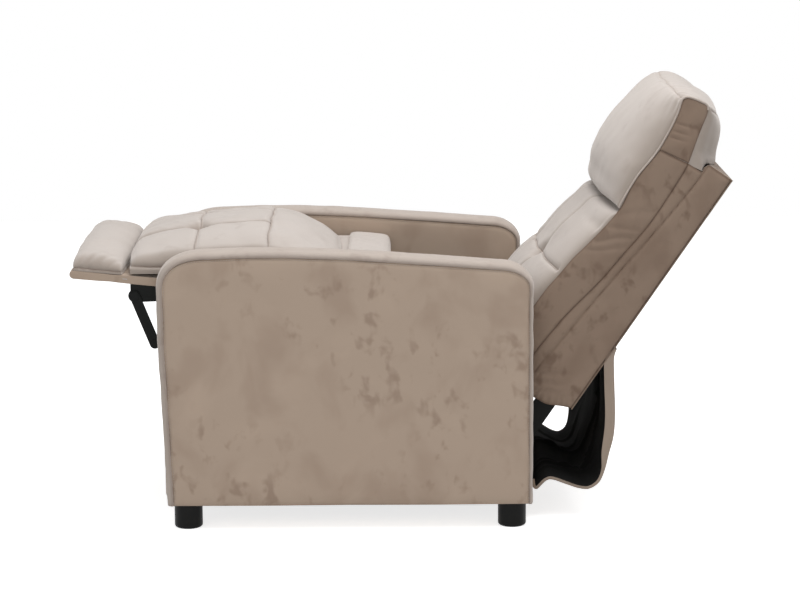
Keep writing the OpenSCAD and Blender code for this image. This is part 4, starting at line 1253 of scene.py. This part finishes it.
class RECLINER_OT_back_cushion(bpy.types.Operator):
    """Back cushion with a cross seam, two lengthwise seams and two tufts, and its two side panels with folds.
    Its front is a stuffed surface; dips are bell curves and cusps of the distance from each seam"""

    bl_idname = "recliner.back_cushion"
    bl_label = "Back Cushion"

    def execute(self, context):
        seat, back = context.scene.armchair_seat, context.scene.armchair_back
        size = (back.depth, back.height)
        mid, end = scaled(CUSHION_MID, size), scaled(CUSHION_END, size)
        shell = scaled(SHELL_FRONT, size)[1:-1] + (0.0003, 0)
        top_mid = scaled([(0.62, 0.8), (0.61, 0.935), (0.36, 0.945)], size)
        top_end = scaled([(0.58, 0.8), (0.575, 0.93), (0.36, 0.94)], size)
        half = BACK_HALF - 0.003
        seam = back.seam * back.height
        us = ring_places(mid, 0.0055, [nearest(mid, seam, 1)])
        xs = stations(half, 0.0055, (-seat.tuft_x, seat.tuft_x))
        grid = across_rows(xs, stuffed(half, mid, end, xs, us))
        x, u = grid[..., 0], grid[..., 2]
        out = normals(grid)
        rim = smooth(half - np.abs(x), 0.0, 0.006) * smooth(u, -0.02, 0.0) * np.ones_like(u)
        wander = 0.0014 * ripple(grid[..., ::2], 0.12, 61)
        d1 = u - seam + wander
        lines = [(d1, x, rim, 0.0013)]
        lines += [(x - side * seat.tuft_x + wander, u, rim, 0.0016) for side in (-1, 1)]
        tufts = [np.hypot(x - side * seat.tuft_x, d1) for side in (-1, 1)]
        # dark is painted shade in the seams, tufts and pull folds
        depth, dark = seams_and_tufts(lines, tufts, seat, rim)
        angles = (0.4, 0.85, 1.2, 1.95, 2.3, 2.8, 3.55, 4.0, 4.4, 5.05, 5.5, 5.95)
        for side in (-1, 1):
            pull = folds(x, u, (side * seat.tuft_x, seam), angles, 0.03, 0.003) * rim
            depth += 0.004 * pull
            dark = np.maximum(dark, 0.3 * pull)
        depth += 0.0012 * ripple(grid * (1, 1, 0.8), 0.13, 63) * rim
        depth += 0.003 * bell(u - 0.355, 0.012) * smooth(np.abs(x), 0.13, 0.24) * rim
        grid = grid - out * depth[..., None]
        obj = closed_piece(
            "back_cushion_padding", xs, half, grid,
            (np.vstack([top_mid, shell]), np.vstack([top_end, shell])), back_place, dark,
        )
        finished(obj, "cushion_fabric", "back", ["back_cushion"])
        thread("back_cushion_thread", grid, d1 + THREAD_OFFSET, back_place, "back", np.abs(xs) < half - 0.005)

        right, left = resampled(drawn(FRONT_SEAM, 300), 110), resampled(drawn(SHELL_SEAM, 200), 110)
        edges = (np.linspace(left[0], right[0], 34), np.linspace(left[-1], right[-1], 34), left, right)
        upright = np.array((math.sin(BACK_LEAN), math.cos(BACK_LEAN)))
        shell_folds = (
            (0.345, 0.0028, 0.004), (0.368, 0.0034, 0.0045), (0.392, 0.0026, 0.004), (0.42, 0.0016, 0.005)
        )

        def shape(flat, d):
            level = flat @ upright
            drift = 0.004 * ripple(flat, 0.09, 66)
            fold = sum(h * bell(level - at + drift, w) for at, h, w in shell_folds)
            swell = 0.0028 * (1 - np.exp(-d / 0.018))
            swell = swell + 0.0006 * ripple(flat, 0.05, 67) * (1 - np.exp(-d / 0.02))
            away = 1 - np.exp(-d / 0.006)
            # The second value is painted shade along the panel's rim
            return swell - 0.0024 * np.exp(-d / 0.0022) - fold * away, cusp(d, 0.0016)

        def make(side, sign):
            panel = side_panel(f"back_side_panel_{side}", sign, edges, BACK_HALF, 0.008, shape)
            finished(panel, "back_fabric", "back")

        both(make)
        return {"FINISHED"}


class RECLINER_OT_headrest(bpy.types.Operator):
    """Boxed headrest pillow over the top of the back, with its gussets, welts and pleats.
    It is a stuffed surface, with two seams across and pleats fanning from the corners"""

    bl_idname = "recliner.headrest"
    bl_label = "Headrest"

    def execute(self, context):
        back = context.scene.armchair_back
        size = (back.depth, back.height)
        mid, end = scaled(HEADREST_MID, size), scaled(HEADREST_END, size)
        half = BACK_HALF - 0.003
        us = ring_places(mid, 0.0055, HEADREST_SEAMS)
        xs = stations(half, 0.0055)
        grid = across_rows(xs, stuffed(half, mid, end, xs, us))
        x = grid[..., 0]
        out = normals(grid)
        places = np.linspace(0, len(mid) - 1, 900)
        far = measured(spline(mid, places))
        along = np.interp(us, places, far)[None, :]
        seam_front, seam_rear = np.interp(HEADREST_SEAMS, places, far)
        ends = smooth(along, 0, 0.012) * smooth(far[-1] - along, 0, 0.012)
        rim = smooth(half - np.abs(x), 0.0, 0.006) * ends
        wander = 0.0012 * ripple(grid, 0.12, 71)
        depth = np.zeros(grid.shape[:2])
        dark = np.zeros(grid.shape[:2])
        for at in (seam_front, seam_rear):
            d = along - at + wander
            pucker = 1 + 0.35 * np.sin(x * 2 * math.pi / 0.011) * bell(d, 0.012)
            depth += (0.0028 * bell(d, 0.008) * pucker + 0.0018 * cusp(d, 0.0014)) * rim
            # Painted shade along both seams
            dark = np.maximum(dark, 0.6 * cusp(d, 0.0012) * rim)
        pleats = (
            (-0.235, 0.05), (-0.205, 0.035), (-0.105, 0.04), (-0.09, 0.05), (-0.074, 0.035),
            (0.06, 0.03), (0.15, 0.03), (0.205, 0.035), (0.222, 0.05), (0.24, 0.045),
        )
        for at, reach in pleats:
            for d in (seam_front - along, along - seam_front):
                pleat = bell(x - at - 0.25 * d * np.sign(at), 0.0032) * np.exp(-np.clip(d, 0, None) / reach)
                depth += 0.0026 * pleat * smooth(d, 0, 0.004) * (1 - smooth(d, reach, 2.2 * reach)) * rim
        depth += (0.0016 * ripple(grid, 0.15, 73) + 0.0003 * ripple(grid, 0.05, 74)) * rim
        grid = grid - out * depth[..., None]
        seat_mid, seat_end = scaled(HEADREST_SEAT, size), scaled(HEADREST_SEAT_END, size)
        obj = closed_piece("headrest_padding", xs, half, grid, (seat_mid, seat_end), back_place, dark)
        finished(obj, "cushion_fabric", "back", ["headrest"])
        inside = np.abs(xs) < half - 0.004
        for number, at in ((1, seam_front), (2, seam_rear)):
            off = along - at + wander
            thread(f"headrest_thread_{number}", grid, off, back_place, "back", inside, 0.0009)

        count = 900
        line = drawn(end, count)
        place = np.arange(count)
        seam, rear_seam, welt_low, welt_high = (count * at / (len(end) - 1) for at in HEADREST_SEAMS_END)
        front = resampled(line[(line[:, 1] > 0.562) & (place < seam)], 60)
        rear = resampled(line[place > rear_seam][::-1], 50)
        rear = resampled(np.vstack([[(0.095, 0.573)], [(0.1, 0.592)], rear]), 60)
        top = resampled(np.vstack([rear[-1:], line[int(seam):int(rear_seam)][::-1], front[-1:]]), 30)
        edges = (np.linspace(rear[0], front[0], 30), top, rear, front)

        def shape(flat, d):
            off = flat[..., 0] - 0.15
            swell = 0.0032 * (1 - np.exp(-d / 0.016))
            swell = swell + 0.0007 * ripple(flat, 0.04, 76) * (1 - np.exp(-d / 0.01))
            near = bell(off, 0.02) * (1 - smooth(flat[..., 1], 0.64, 0.69)) * (1 - np.exp(-d / 0.004))
            crease = sum(0.0022 * bell(flat[..., 1] - at + 0.3 * off, 0.003) for at in (0.6, 0.615, 0.633))
            # The second value is painted shade along the gusset's rim
            return swell - 0.0024 * np.exp(-d / 0.0022) - crease * near, cusp(d, 0.0016)

        def make(side, sign):
            panel = side_panel(f"headrest_gusset_{side}", sign, edges, BACK_HALF, 0.007, shape)
            finished(panel, "back_fabric", "back")
            path = resampled(line[int(welt_low):int(welt_high)], 150) + (0.0012, 0)
            path = on_back(path[:, 0], path[:, 1], sign * (BACK_HALF - 0.0005))
            finished(build(f"headrest_welt_{side}", tube(path, 0.0021)), "boxing_fabric", "back")

        both(make)
        return {"FINISHED"}


class RECLINER_OT_back_shell(bpy.types.Operator):
    """Side covers, rear cover and piping of the back"""

    bl_idname = "recliner.back_shell"
    bl_label = "Back Shell"

    def execute(self, context):
        back = context.scene.armchair_back
        high = back.height
        right = resampled(drawn(SHELL_SEAM, 200), 120)
        left = np.linspace((0.0005, 0), (0.0005, high), 120)
        bottom = [left[0], (0.02, -0.008), (0.049, -0.022), (0.08, -0.025), (0.1, -0.028), SHELL_SEAM[0]]
        top = [left[-1], (0.0575, high + 0.0005), (0.0615, 0.584), (0.0615, 0.573), SHELL_SEAM[-1]]
        edges = (resampled(drawn(bottom, 80), 44), resampled(np.array(top), 44), left, right)
        groove = drawn(SIDE_GROOVE, 120)

        def shape(flat, d):
            n, u = flat[..., 0], flat[..., 1]
            line = n - np.interp(u, groove[:, 1], groove[:, 0])
            low = u + 0.02 * smooth(n, 0.0, 0.05)
            pucker = np.sin(n * 2 * math.pi / 0.013 + 1.5 * ripple(flat, 0.05, 81))
            pucker = 0.0022 * pucker * np.exp(-low / 0.016)
            swell = back.crown * (1 - np.exp(-d / 0.014))
            swell = swell + 0.0005 * ripple(flat, 0.05, 82) * (1 - np.exp(-d / 0.01))
            slant = n * 0.5 + u + 0.003 * ripple(flat, 0.08, 83)
            fold = sum(0.0018 * bell(slant - at, 0.004) for at in (0.03, 0.052, 0.08)) * smooth(n, 0.03, 0.06)
            seam = 0.0022 * cusp(line, 0.0018) + 0.0016 * bell(line, 0.006)
            away = 1 - np.exp(-d / 0.004)
            out = swell - seam * away - (fold + pucker) * away - 0.0026 * np.exp(-d / 0.0025)
            # The second value is painted shade along the rim and the side groove
            return out, np.maximum(cusp(d, 0.0016), 0.8 * cusp(line, 0.0014))

        def make(side, sign):
            cover = side_panel(f"back_side_padding_{side}", sign, edges, BACK_HALF, back.side_t, shape)
            finished(cover, "back_fabric", "back", [f"back_side_cover_{side}"])
            path = on_back(-0.0028, np.linspace(-0.002, high + 0.0005, 160), sign * (BACK_HALF - 0.0052))
            over = on_back(np.linspace(-0.001, 0.047, 14), high + 0.0008, sign * (BACK_HALF - 0.004))
            piping = build(f"back_piping_{side}", tube(np.vstack([path, over]), 0.0015))
            finished(piping, "back_fabric", "back")

        both(make)
        half = BACK_HALF - back.side_t - 0.0003
        xs = np.linspace(-half, half, 96)
        us = spaced(0.0, high, 0.006, (back.flap_seam,))
        x, u = np.meshgrid(xs, us, indexing="ij")
        rim = np.minimum(half - np.abs(x), np.minimum(u, high - u))
        flat = np.stack([x, u], axis=-1)
        seam = u - back.flap_seam
        out = 0.0016 * (1 - np.exp(-rim / 0.03))
        out = out + 0.0008 * ripple(flat, 0.16, 85) * (1 - np.exp(-rim / 0.04))
        out = out - 0.003 * np.exp(-rim / 0.003) - (0.0018 * cusp(seam, 0.0016) + 0.001 * bell(seam, 0.007))
        front = on_back(-BACK_COVER_T - out, u, x)
        rear = on_back(np.full_like(u, -0.0003), u, x)
        # Painted shade along the rear cover's rim and its seam
        dark = np.maximum(cusp(rim, 0.002), cusp(seam, 0.0018))
        cover = slab("back_rear_padding", front, rear, dark)
        finished(cover, "back_fabric", "back", ["back_rear_cover"])

        reach = 0.05
        x, n = np.meshgrid(np.linspace(-half, half, 60), np.linspace(-BACK_COVER_T, reach, 16), indexing="ij")
        cloth = slab("back_top_cloth", on_back(n, high + 0.0014, x), on_back(n, high + 0.0004, x))
        finished(cloth, "back_fabric", "back")
        flat = (round(2 * half, 3), round(reach + BACK_COVER_T, 3))
        return {"FINISHED"}


# The flap's side line from its lower end, in shares of its reach and height, and how far its left edge is
# pulled in at each of that line's points and at its upper end, in shares of the pull
FLAP_SIDE = [
    (0, 0.075), (0.015, 0.02), (0.07, 0), (0.18, 0.06), (0.26, 0.07), (0.42, 0.04), (0.58, 0.01),
    (0.71, 0.005), (0.83, 0.05), (0.9, 0.14), (0.945, 0.25), (1, 0.42), (1, 0.75), (1, 0.93),
]
FLAP_PULL = np.array([0, 3, 8, 15, 24, 31, 34, 35, 36, 38, 36, 31, 19, 7, 0]) / 50


class RECLINER_OT_rear_flap(bpy.types.Operator):
    """Loose cloth flap from the back to the base's rear rail, hemmed at its sides, with a black lining
    inside. Its side line is a spline, its left edge is pulled in, and low waves run down it"""

    bl_idname = "recliner.rear_flap"
    bl_label = "Rear Flap"

    def execute(self, context):
        flap, back = context.scene.armchair_flap, context.scene.armchair_back
        low = np.array([ARM_LEN + 0.0018, flap.low])
        top = on_back(-BACK_COVER_T - 0.0034, back.flap_seam, 0)[1:] - (FRONT, 0)
        line = np.vstack([scaled(FLAP_SIDE, (flap.out, top[1] - low[1]), low), [top]])
        us = ring_places(line, 0.0035)
        curve = spline(line, us)
        far = measured(curve)

        def surface(xs, shift):
            side = (flap.half - xs[:, None]) / (2 * flap.half)
            pull = np.interp(us, range(15), FLAP_PULL * flap.pull)[None] * side
            lift = 0.012 * bell(us - 4, 1.6)[None] * side**2
            y = curve[None, :, 0] - pull
            z = curve[None, :, 1] + lift
            grid = np.stack([np.broadcast_to(xs[:, None], y.shape), y, z], axis=-1)
            n = normals(grid)
            n = n * np.sign(n[len(xs) // 2, len(us) // 2, 1] or 1)
            ease = smooth(np.minimum(far, far[-1] - far), 0, 0.05)[None]
            hang = 0.0022 * np.sin(xs * 2 * math.pi / 0.2 + 0.6)[:, None]
            hang = hang + 0.0013 * ripple(grid * (1, 0.35, 0.35), 0.08, 91)
            return grid + n * (hang * ease + shift)[..., None], n

        high = smooth(us, 8.5, 11) * (1 - smooth(us, 12.6, 13.9))
        turned = 0.003 + (flap.hem - 0.003) * high
        w = np.linspace(0, math.pi / 2, 5)
        xs = spaced(-flap.half + 0.004, flap.half - 0.004, 0.006)
        body, n = surface(xs, 0.0)
        sides = []
        for k, sign in ((0, -1), (-1, 1)):
            edge, out = body[k], n[k]
            sideways, inside = sign * 0.004 * np.sin(w[1:]), 0.004 * (1 - np.cos(w[1:]))
            rows = [edge + (a, 0, 0) - out * b for a, b in zip(sideways, inside)]
            wave = 0.0012 * np.sin(far * 2 * math.pi / 0.11 + sign)
            turn = wave[:, None] * (1, 0, 0) - out * turned[:, None]
            rows += [rows[3] + turn * share_in for share_in in (0.2, 0.4, 0.6, 0.8, 1)]
            sides.append(np.stack(rows))
        grid = np.concatenate([sides[0][::-1], body, sides[1]])
        out = n[np.clip(np.arange(len(grid)) - len(sides[0]), 0, len(n) - 1)]
        inward = np.zeros_like(grid)
        count = len(sides[0])
        for k, sign in ((slice(0, count), -1), (slice(-count, None), 1)):
            turn = np.clip(np.arange(1, count + 1) / 4, 0, 1)
            turn = (turn[::-1] if sign < 0 else turn)[:, None, None] * math.pi / 2
            inward[k] = -out[k] * np.cos(turn) - np.sin(turn) * (sign, 0, 0)
        inward[count:-count] = -n
        obj = slab("rear_flap_cloth", arm_place(grid), arm_place(grid + inward * flap.cloth_t))
        finished(obj, "flap_fabric", None, ["rear_flap"])
        wide, long = round(float(2 * flap.half + 2 * turned.mean()), 3), round(float(far[-1]), 3)

        reach = flap.half - 0.0075
        xs = spaced(-reach, reach, 0.006)
        side = smooth(np.abs(xs), reach - 0.05, reach)[:, None]
        ends = smooth(np.minimum(far, far[-1] - far), 0, 0.04)[None]
        shift = -flap.cloth_t - (flap.lining_gap + 0.6 * (turned - 0.003) * side) * ends
        pinches = (
            (-0.19, 0.1, 0.2), (-0.1, 0.4, 0.3), (-0.03, -0.3, 0.16),
            (0.06, 0.5, 0.28), (0.14, -0.2, 0.2), (0.2, -0.5, 0.33),
        )
        pinch = sum(
            0.005 * bell(xs[:, None] - at - lean * far[None], 0.007)
            * (smooth(far, 0.03, 0.09) * (1 - smooth(far, stop, stop + 0.08)))[None]
            for at, lean, stop in pinches
        )
        grid, n = surface(xs, shift - pinch)
        obj = slab("rear_flap_lining", arm_place(grid), arm_place(grid - n * flap.cloth_t))
        finished(obj, "black_cloth", None)
        for name in ("rear_flap_cloth", "rear_flap_lining"):
            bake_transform(bpy.data.objects[name])
        return {"FINISHED"}


# Base, frame and stage


STRAP_WIDTH = 0.05


def strap(a, b, faces, place):
    """Grids of a closed woven strap between two faces, over the flat grid of its places a and b."""
    front, back = (place(np.stack([a, b, np.full_like(a, face)], -1)) for face in faces)
    return [front, back] + skirt(front, back)


class RECLINER_OT_base_covers(bpy.types.Operator):
    """Covered front panel, black dust cover with its staples, and straps under the seat and in the back"""

    bl_idname = "recliner.base_covers"
    bl_label = "Base Covers"

    def execute(self, context):
        low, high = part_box("front_panel")
        even = np.linspace(low.z + END_OFFSETS[-1], high.z - END_OFFSETS[-1], 16)
        zs = np.unique(np.round(np.concatenate([even, low.z + END_OFFSETS, high.z - END_OFFSETS]), 6))
        x, z = np.meshgrid(stations(high.x, 0.012), zs, indexing="ij")
        rim = np.minimum(high.x - np.abs(x), np.minimum(z - low.z, high.z - z))
        y = low.y - 0.0012 * (1 - np.exp(-rim / 0.02)) + 0.0045 * np.exp(-rim / 0.0025)
        front = np.stack([x, y, z], -1)
        panel = slab("front_panel_cover", front, np.stack([x, np.full_like(y, high.y), z], -1))
        finished(panel, "side_fabric", "base", ["front_panel"])

        low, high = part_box("dust_cover")
        x, y = np.meshgrid(np.linspace(low.x, high.x, 70), np.linspace(low.y, high.y, 90), indexing="ij")
        rim = np.minimum(high.x - np.abs(x), np.minimum(y - low.y, high.y - y))
        flat = np.stack([x, y], -1)
        drop = 0.003 * (1 - np.exp(-rim / 0.05)) + 0.0007 * ripple(flat, 0.09, 95) * (1 - np.exp(-rim / 0.03))
        mid = (low.z + high.z) / 2
        under, over = (np.stack([x, y, mid + side * 0.0004 - drop], -1) for side in (-1, 1))
        cloth = slab("dust_cover_cloth", under, over)
        finished(cloth, "black_cloth", "base", ["dust_cover"])
        staples = []
        for side in (-1, 1):
            for at in np.linspace(low.y + 0.02, high.y - 0.02, 14):
                y = np.linspace(at - 0.005, at + 0.005, 5)
                line = np.broadcast_arrays(side * (high.x - 0.006), y, mid - 0.0011)
                staples += staple(np.stack(line, axis=1))
        finished(build("dust_cover_staples", staples), "pin_steel", "base")

        low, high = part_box("seat_webbing")
        across = np.linspace(-STRAP_WIDTH / 2, STRAP_WIDTH / 2, 8)
        grids = []
        for at in np.linspace(low.x + STRAP_WIDTH / 2, high.x - STRAP_WIDTH / 2, 5):
            x, y = np.meshgrid(at + across, np.linspace(low.y, high.y, 60), indexing="ij")
            grids += strap(x, y, (high.z - 0.0002, low.z + 0.0002), lambda p: p)
        finished(build("seat_straps", grids), "black_cloth", "carriage", ["seat_webbing"])

        side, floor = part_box("seat_side_rail_right")[1].x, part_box("seat_cushion")[0].z
        start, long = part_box("seat_rear_roll")[0].y - 0.1, 0.12
        x, y = np.meshgrid(np.linspace(-side, side, 60), np.linspace(start, start + long, 24), indexing="ij")
        over, under = (np.stack([x, y, np.full_like(x, floor - down)], -1) for down in (0.00006, 0.00026))
        deck = slab("seat_deck_cloth", over, under)
        finished(deck, "cushion_fabric", "carriage")

        back = context.scene.armchair_back
        low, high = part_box("back_webbing")
        near = back.strap_depth + 0.0002
        grids = []
        for share_up in np.arange(1, 7) / 7:
            middle = back.frame_low + (back.frame_top - back.frame_low) * share_up
            x, u = np.meshgrid(np.linspace(low.x, high.x, 60), middle + across, indexing="ij")
            grids += strap(x, u, (near + 0.0016, near), lambda p: on_back(p[..., 2], p[..., 1], p[..., 0]))
        finished(build("back_straps", grids), "black_cloth", "back", ["back_webbing"])
        return {"FINISHED"}


class RECLINER_OT_frame_finishes(bpy.types.Operator):
    """Metal, wood and plastic on every construction piece that shows"""

    bl_idname = "recliner.frame_finishes"
    bl_label = "Frame Finishes"

    def execute(self, context):
        for part in frame["record"]["subparts"]:
            node = frame["nodes"][part["node"]]
            if node.hide_render:
                continue
            painted = part["node"] in ("footrest_pivot_pins", "crank_pins")
            node.data.materials.clear()
            node.data.materials.append(material("black_metal" if painted else part["material_slot"]))
        return {"FINISHED"}


class RECLINER_OT_stage(bpy.types.Operator):
    """Camera, white world, two softboxes and a white floor"""

    bl_idname = "recliner.stage"
    bl_label = "Stage"

    def execute(self, context):
        scene = context.scene
        stage = scene.armchair_stage
        camera = bpy.data.cameras.new("camera")
        camera.lens, camera.sensor_width = stage.lens, 36.0
        camera.clip_start, camera.clip_end = 0.1, 60
        obj = bpy.data.objects.new("camera", camera)
        scene.collection.objects.link(obj)
        level, down = math.cos(stage.pitch), -math.sin(stage.pitch)
        forward = Vector((-math.cos(stage.yaw) * level, math.sin(stage.yaw) * level, down))
        side = Vector((math.sin(stage.yaw), math.cos(stage.yaw), 0))
        up = side.cross(forward)
        right = side * math.cos(stage.roll) + up * math.sin(stage.roll)
        top = up * math.cos(stage.roll) - side * math.sin(stage.roll)
        turn = Matrix((right, top, -forward)).transposed().to_4x4()
        turn.translation = Vector(stage.camera) + Vector((0, FRONT, 0))
        obj.matrix_world = turn
        scene.camera = obj
        scene.view_settings.view_transform = "Standard"

        world = bpy.data.worlds.new("white")
        world.use_nodes = True
        world.node_tree.nodes.clear()
        sky = Nodes(world.node_tree)
        inputs = {"Value": sky.seen(), "To Min": stage.ambient, "To Max": 1.0}
        gain = sky.add("ShaderNodeMapRange", {}, inputs)
        light = sky.add("ShaderNodeBackground", {}, {"Color": (1, 1, 1), "Strength": gain})
        sky.add("ShaderNodeOutputWorld", {}, {"Surface": light}, None)
        scene.world = world

        def softbox(name, at, aim, size, power):
            data = bpy.data.lights.new(name, "AREA")
            data.shape, data.size, data.size_y, data.energy = "RECTANGLE", size[0], size[1], power
            lamp = bpy.data.objects.new(name, data)
            lamp.location = at
            lamp.rotation_euler = (Vector(aim) - Vector(at)).to_track_quat("-Z", "Y").to_euler()
            scene.collection.objects.link(lamp)
            return lamp

        lamps = [
            softbox("softbox_top", (0.5, 0.4, 3.4), (0, 0, 0.4), (3.2, 3.2), stage.top_light),
            softbox("softbox_side", (4.2, -1.6, 2.0), (0, 0, 0.4), (2.4, 2.4), stage.side_light),
        ]
        mesh = bpy.data.meshes.new("floor")
        mesh.from_pydata([(-4, -4, 0), (4, -4, 0), (4, 4, 0), (-4, 4, 0)], [], [(0, 1, 2, 3)])
        floor = bpy.data.objects.new("floor", mesh)
        scene.collection.objects.link(floor)
        s = Shader("floor_white")
        glow = s.mix(s.seen(), (0.0, 0.0, 0.0), (1.0, 1.0, 1.0))
        s.finish(base_color=(0.8, 0.8, 0.8), roughness=0.9, emission_color=glow, emission_strength=stage.glow)
        mesh.materials.append(s.material)
        return {"FINISHED"}


PIECES = (
    RECLINER_OT_arms, RECLINER_OT_base_covers, RECLINER_OT_seat_cushion, RECLINER_OT_seat_roll,
    RECLINER_OT_foot_pad, RECLINER_OT_footrest_board, RECLINER_OT_back_cushion, RECLINER_OT_headrest,
    RECLINER_OT_back_shell, RECLINER_OT_rear_flap, RECLINER_OT_frame_finishes, RECLINER_OT_stage,
)


class RECLINER_PT_pieces(bpy.types.Panel):
    """Lists the chair's pieces and their settings"""

    bl_idname = "RECLINER_PT_pieces"
    bl_label = "Reclining Armchair"
    bl_space_type = "VIEW_3D"
    bl_region_type = "UI"
    bl_category = "Armchair"

    def draw(self, context):
        column = self.layout.column(align=True)
        for piece in PIECES:
            column.operator(piece.bl_idname)
        for name, group in SETTINGS.items():
            box = self.layout.box()
            for key in group.__annotations__:
                box.prop(getattr(context.scene, name), key)


CLASSES = tuple(SETTINGS.values()) + PIECES + (RECLINER_PT_pieces,)


def register():
    for cls in CLASSES:
        bpy.utils.register_class(cls)
    for name, group in SETTINGS.items():
        setattr(bpy.types.Scene, name, bpy.props.PointerProperty(type=group))


def unregister():
    for name in SETTINGS:
        delattr(bpy.types.Scene, name)
    for cls in reversed(CLASSES):
        bpy.utils.unregister_class(cls)


def main():
    register()
    for piece in PIECES:
        group, name = piece.bl_idname.split(".")
        getattr(getattr(bpy.ops, group), name)()
    bpy.context.view_layer.update()


if __name__ == "__main__":
    main()
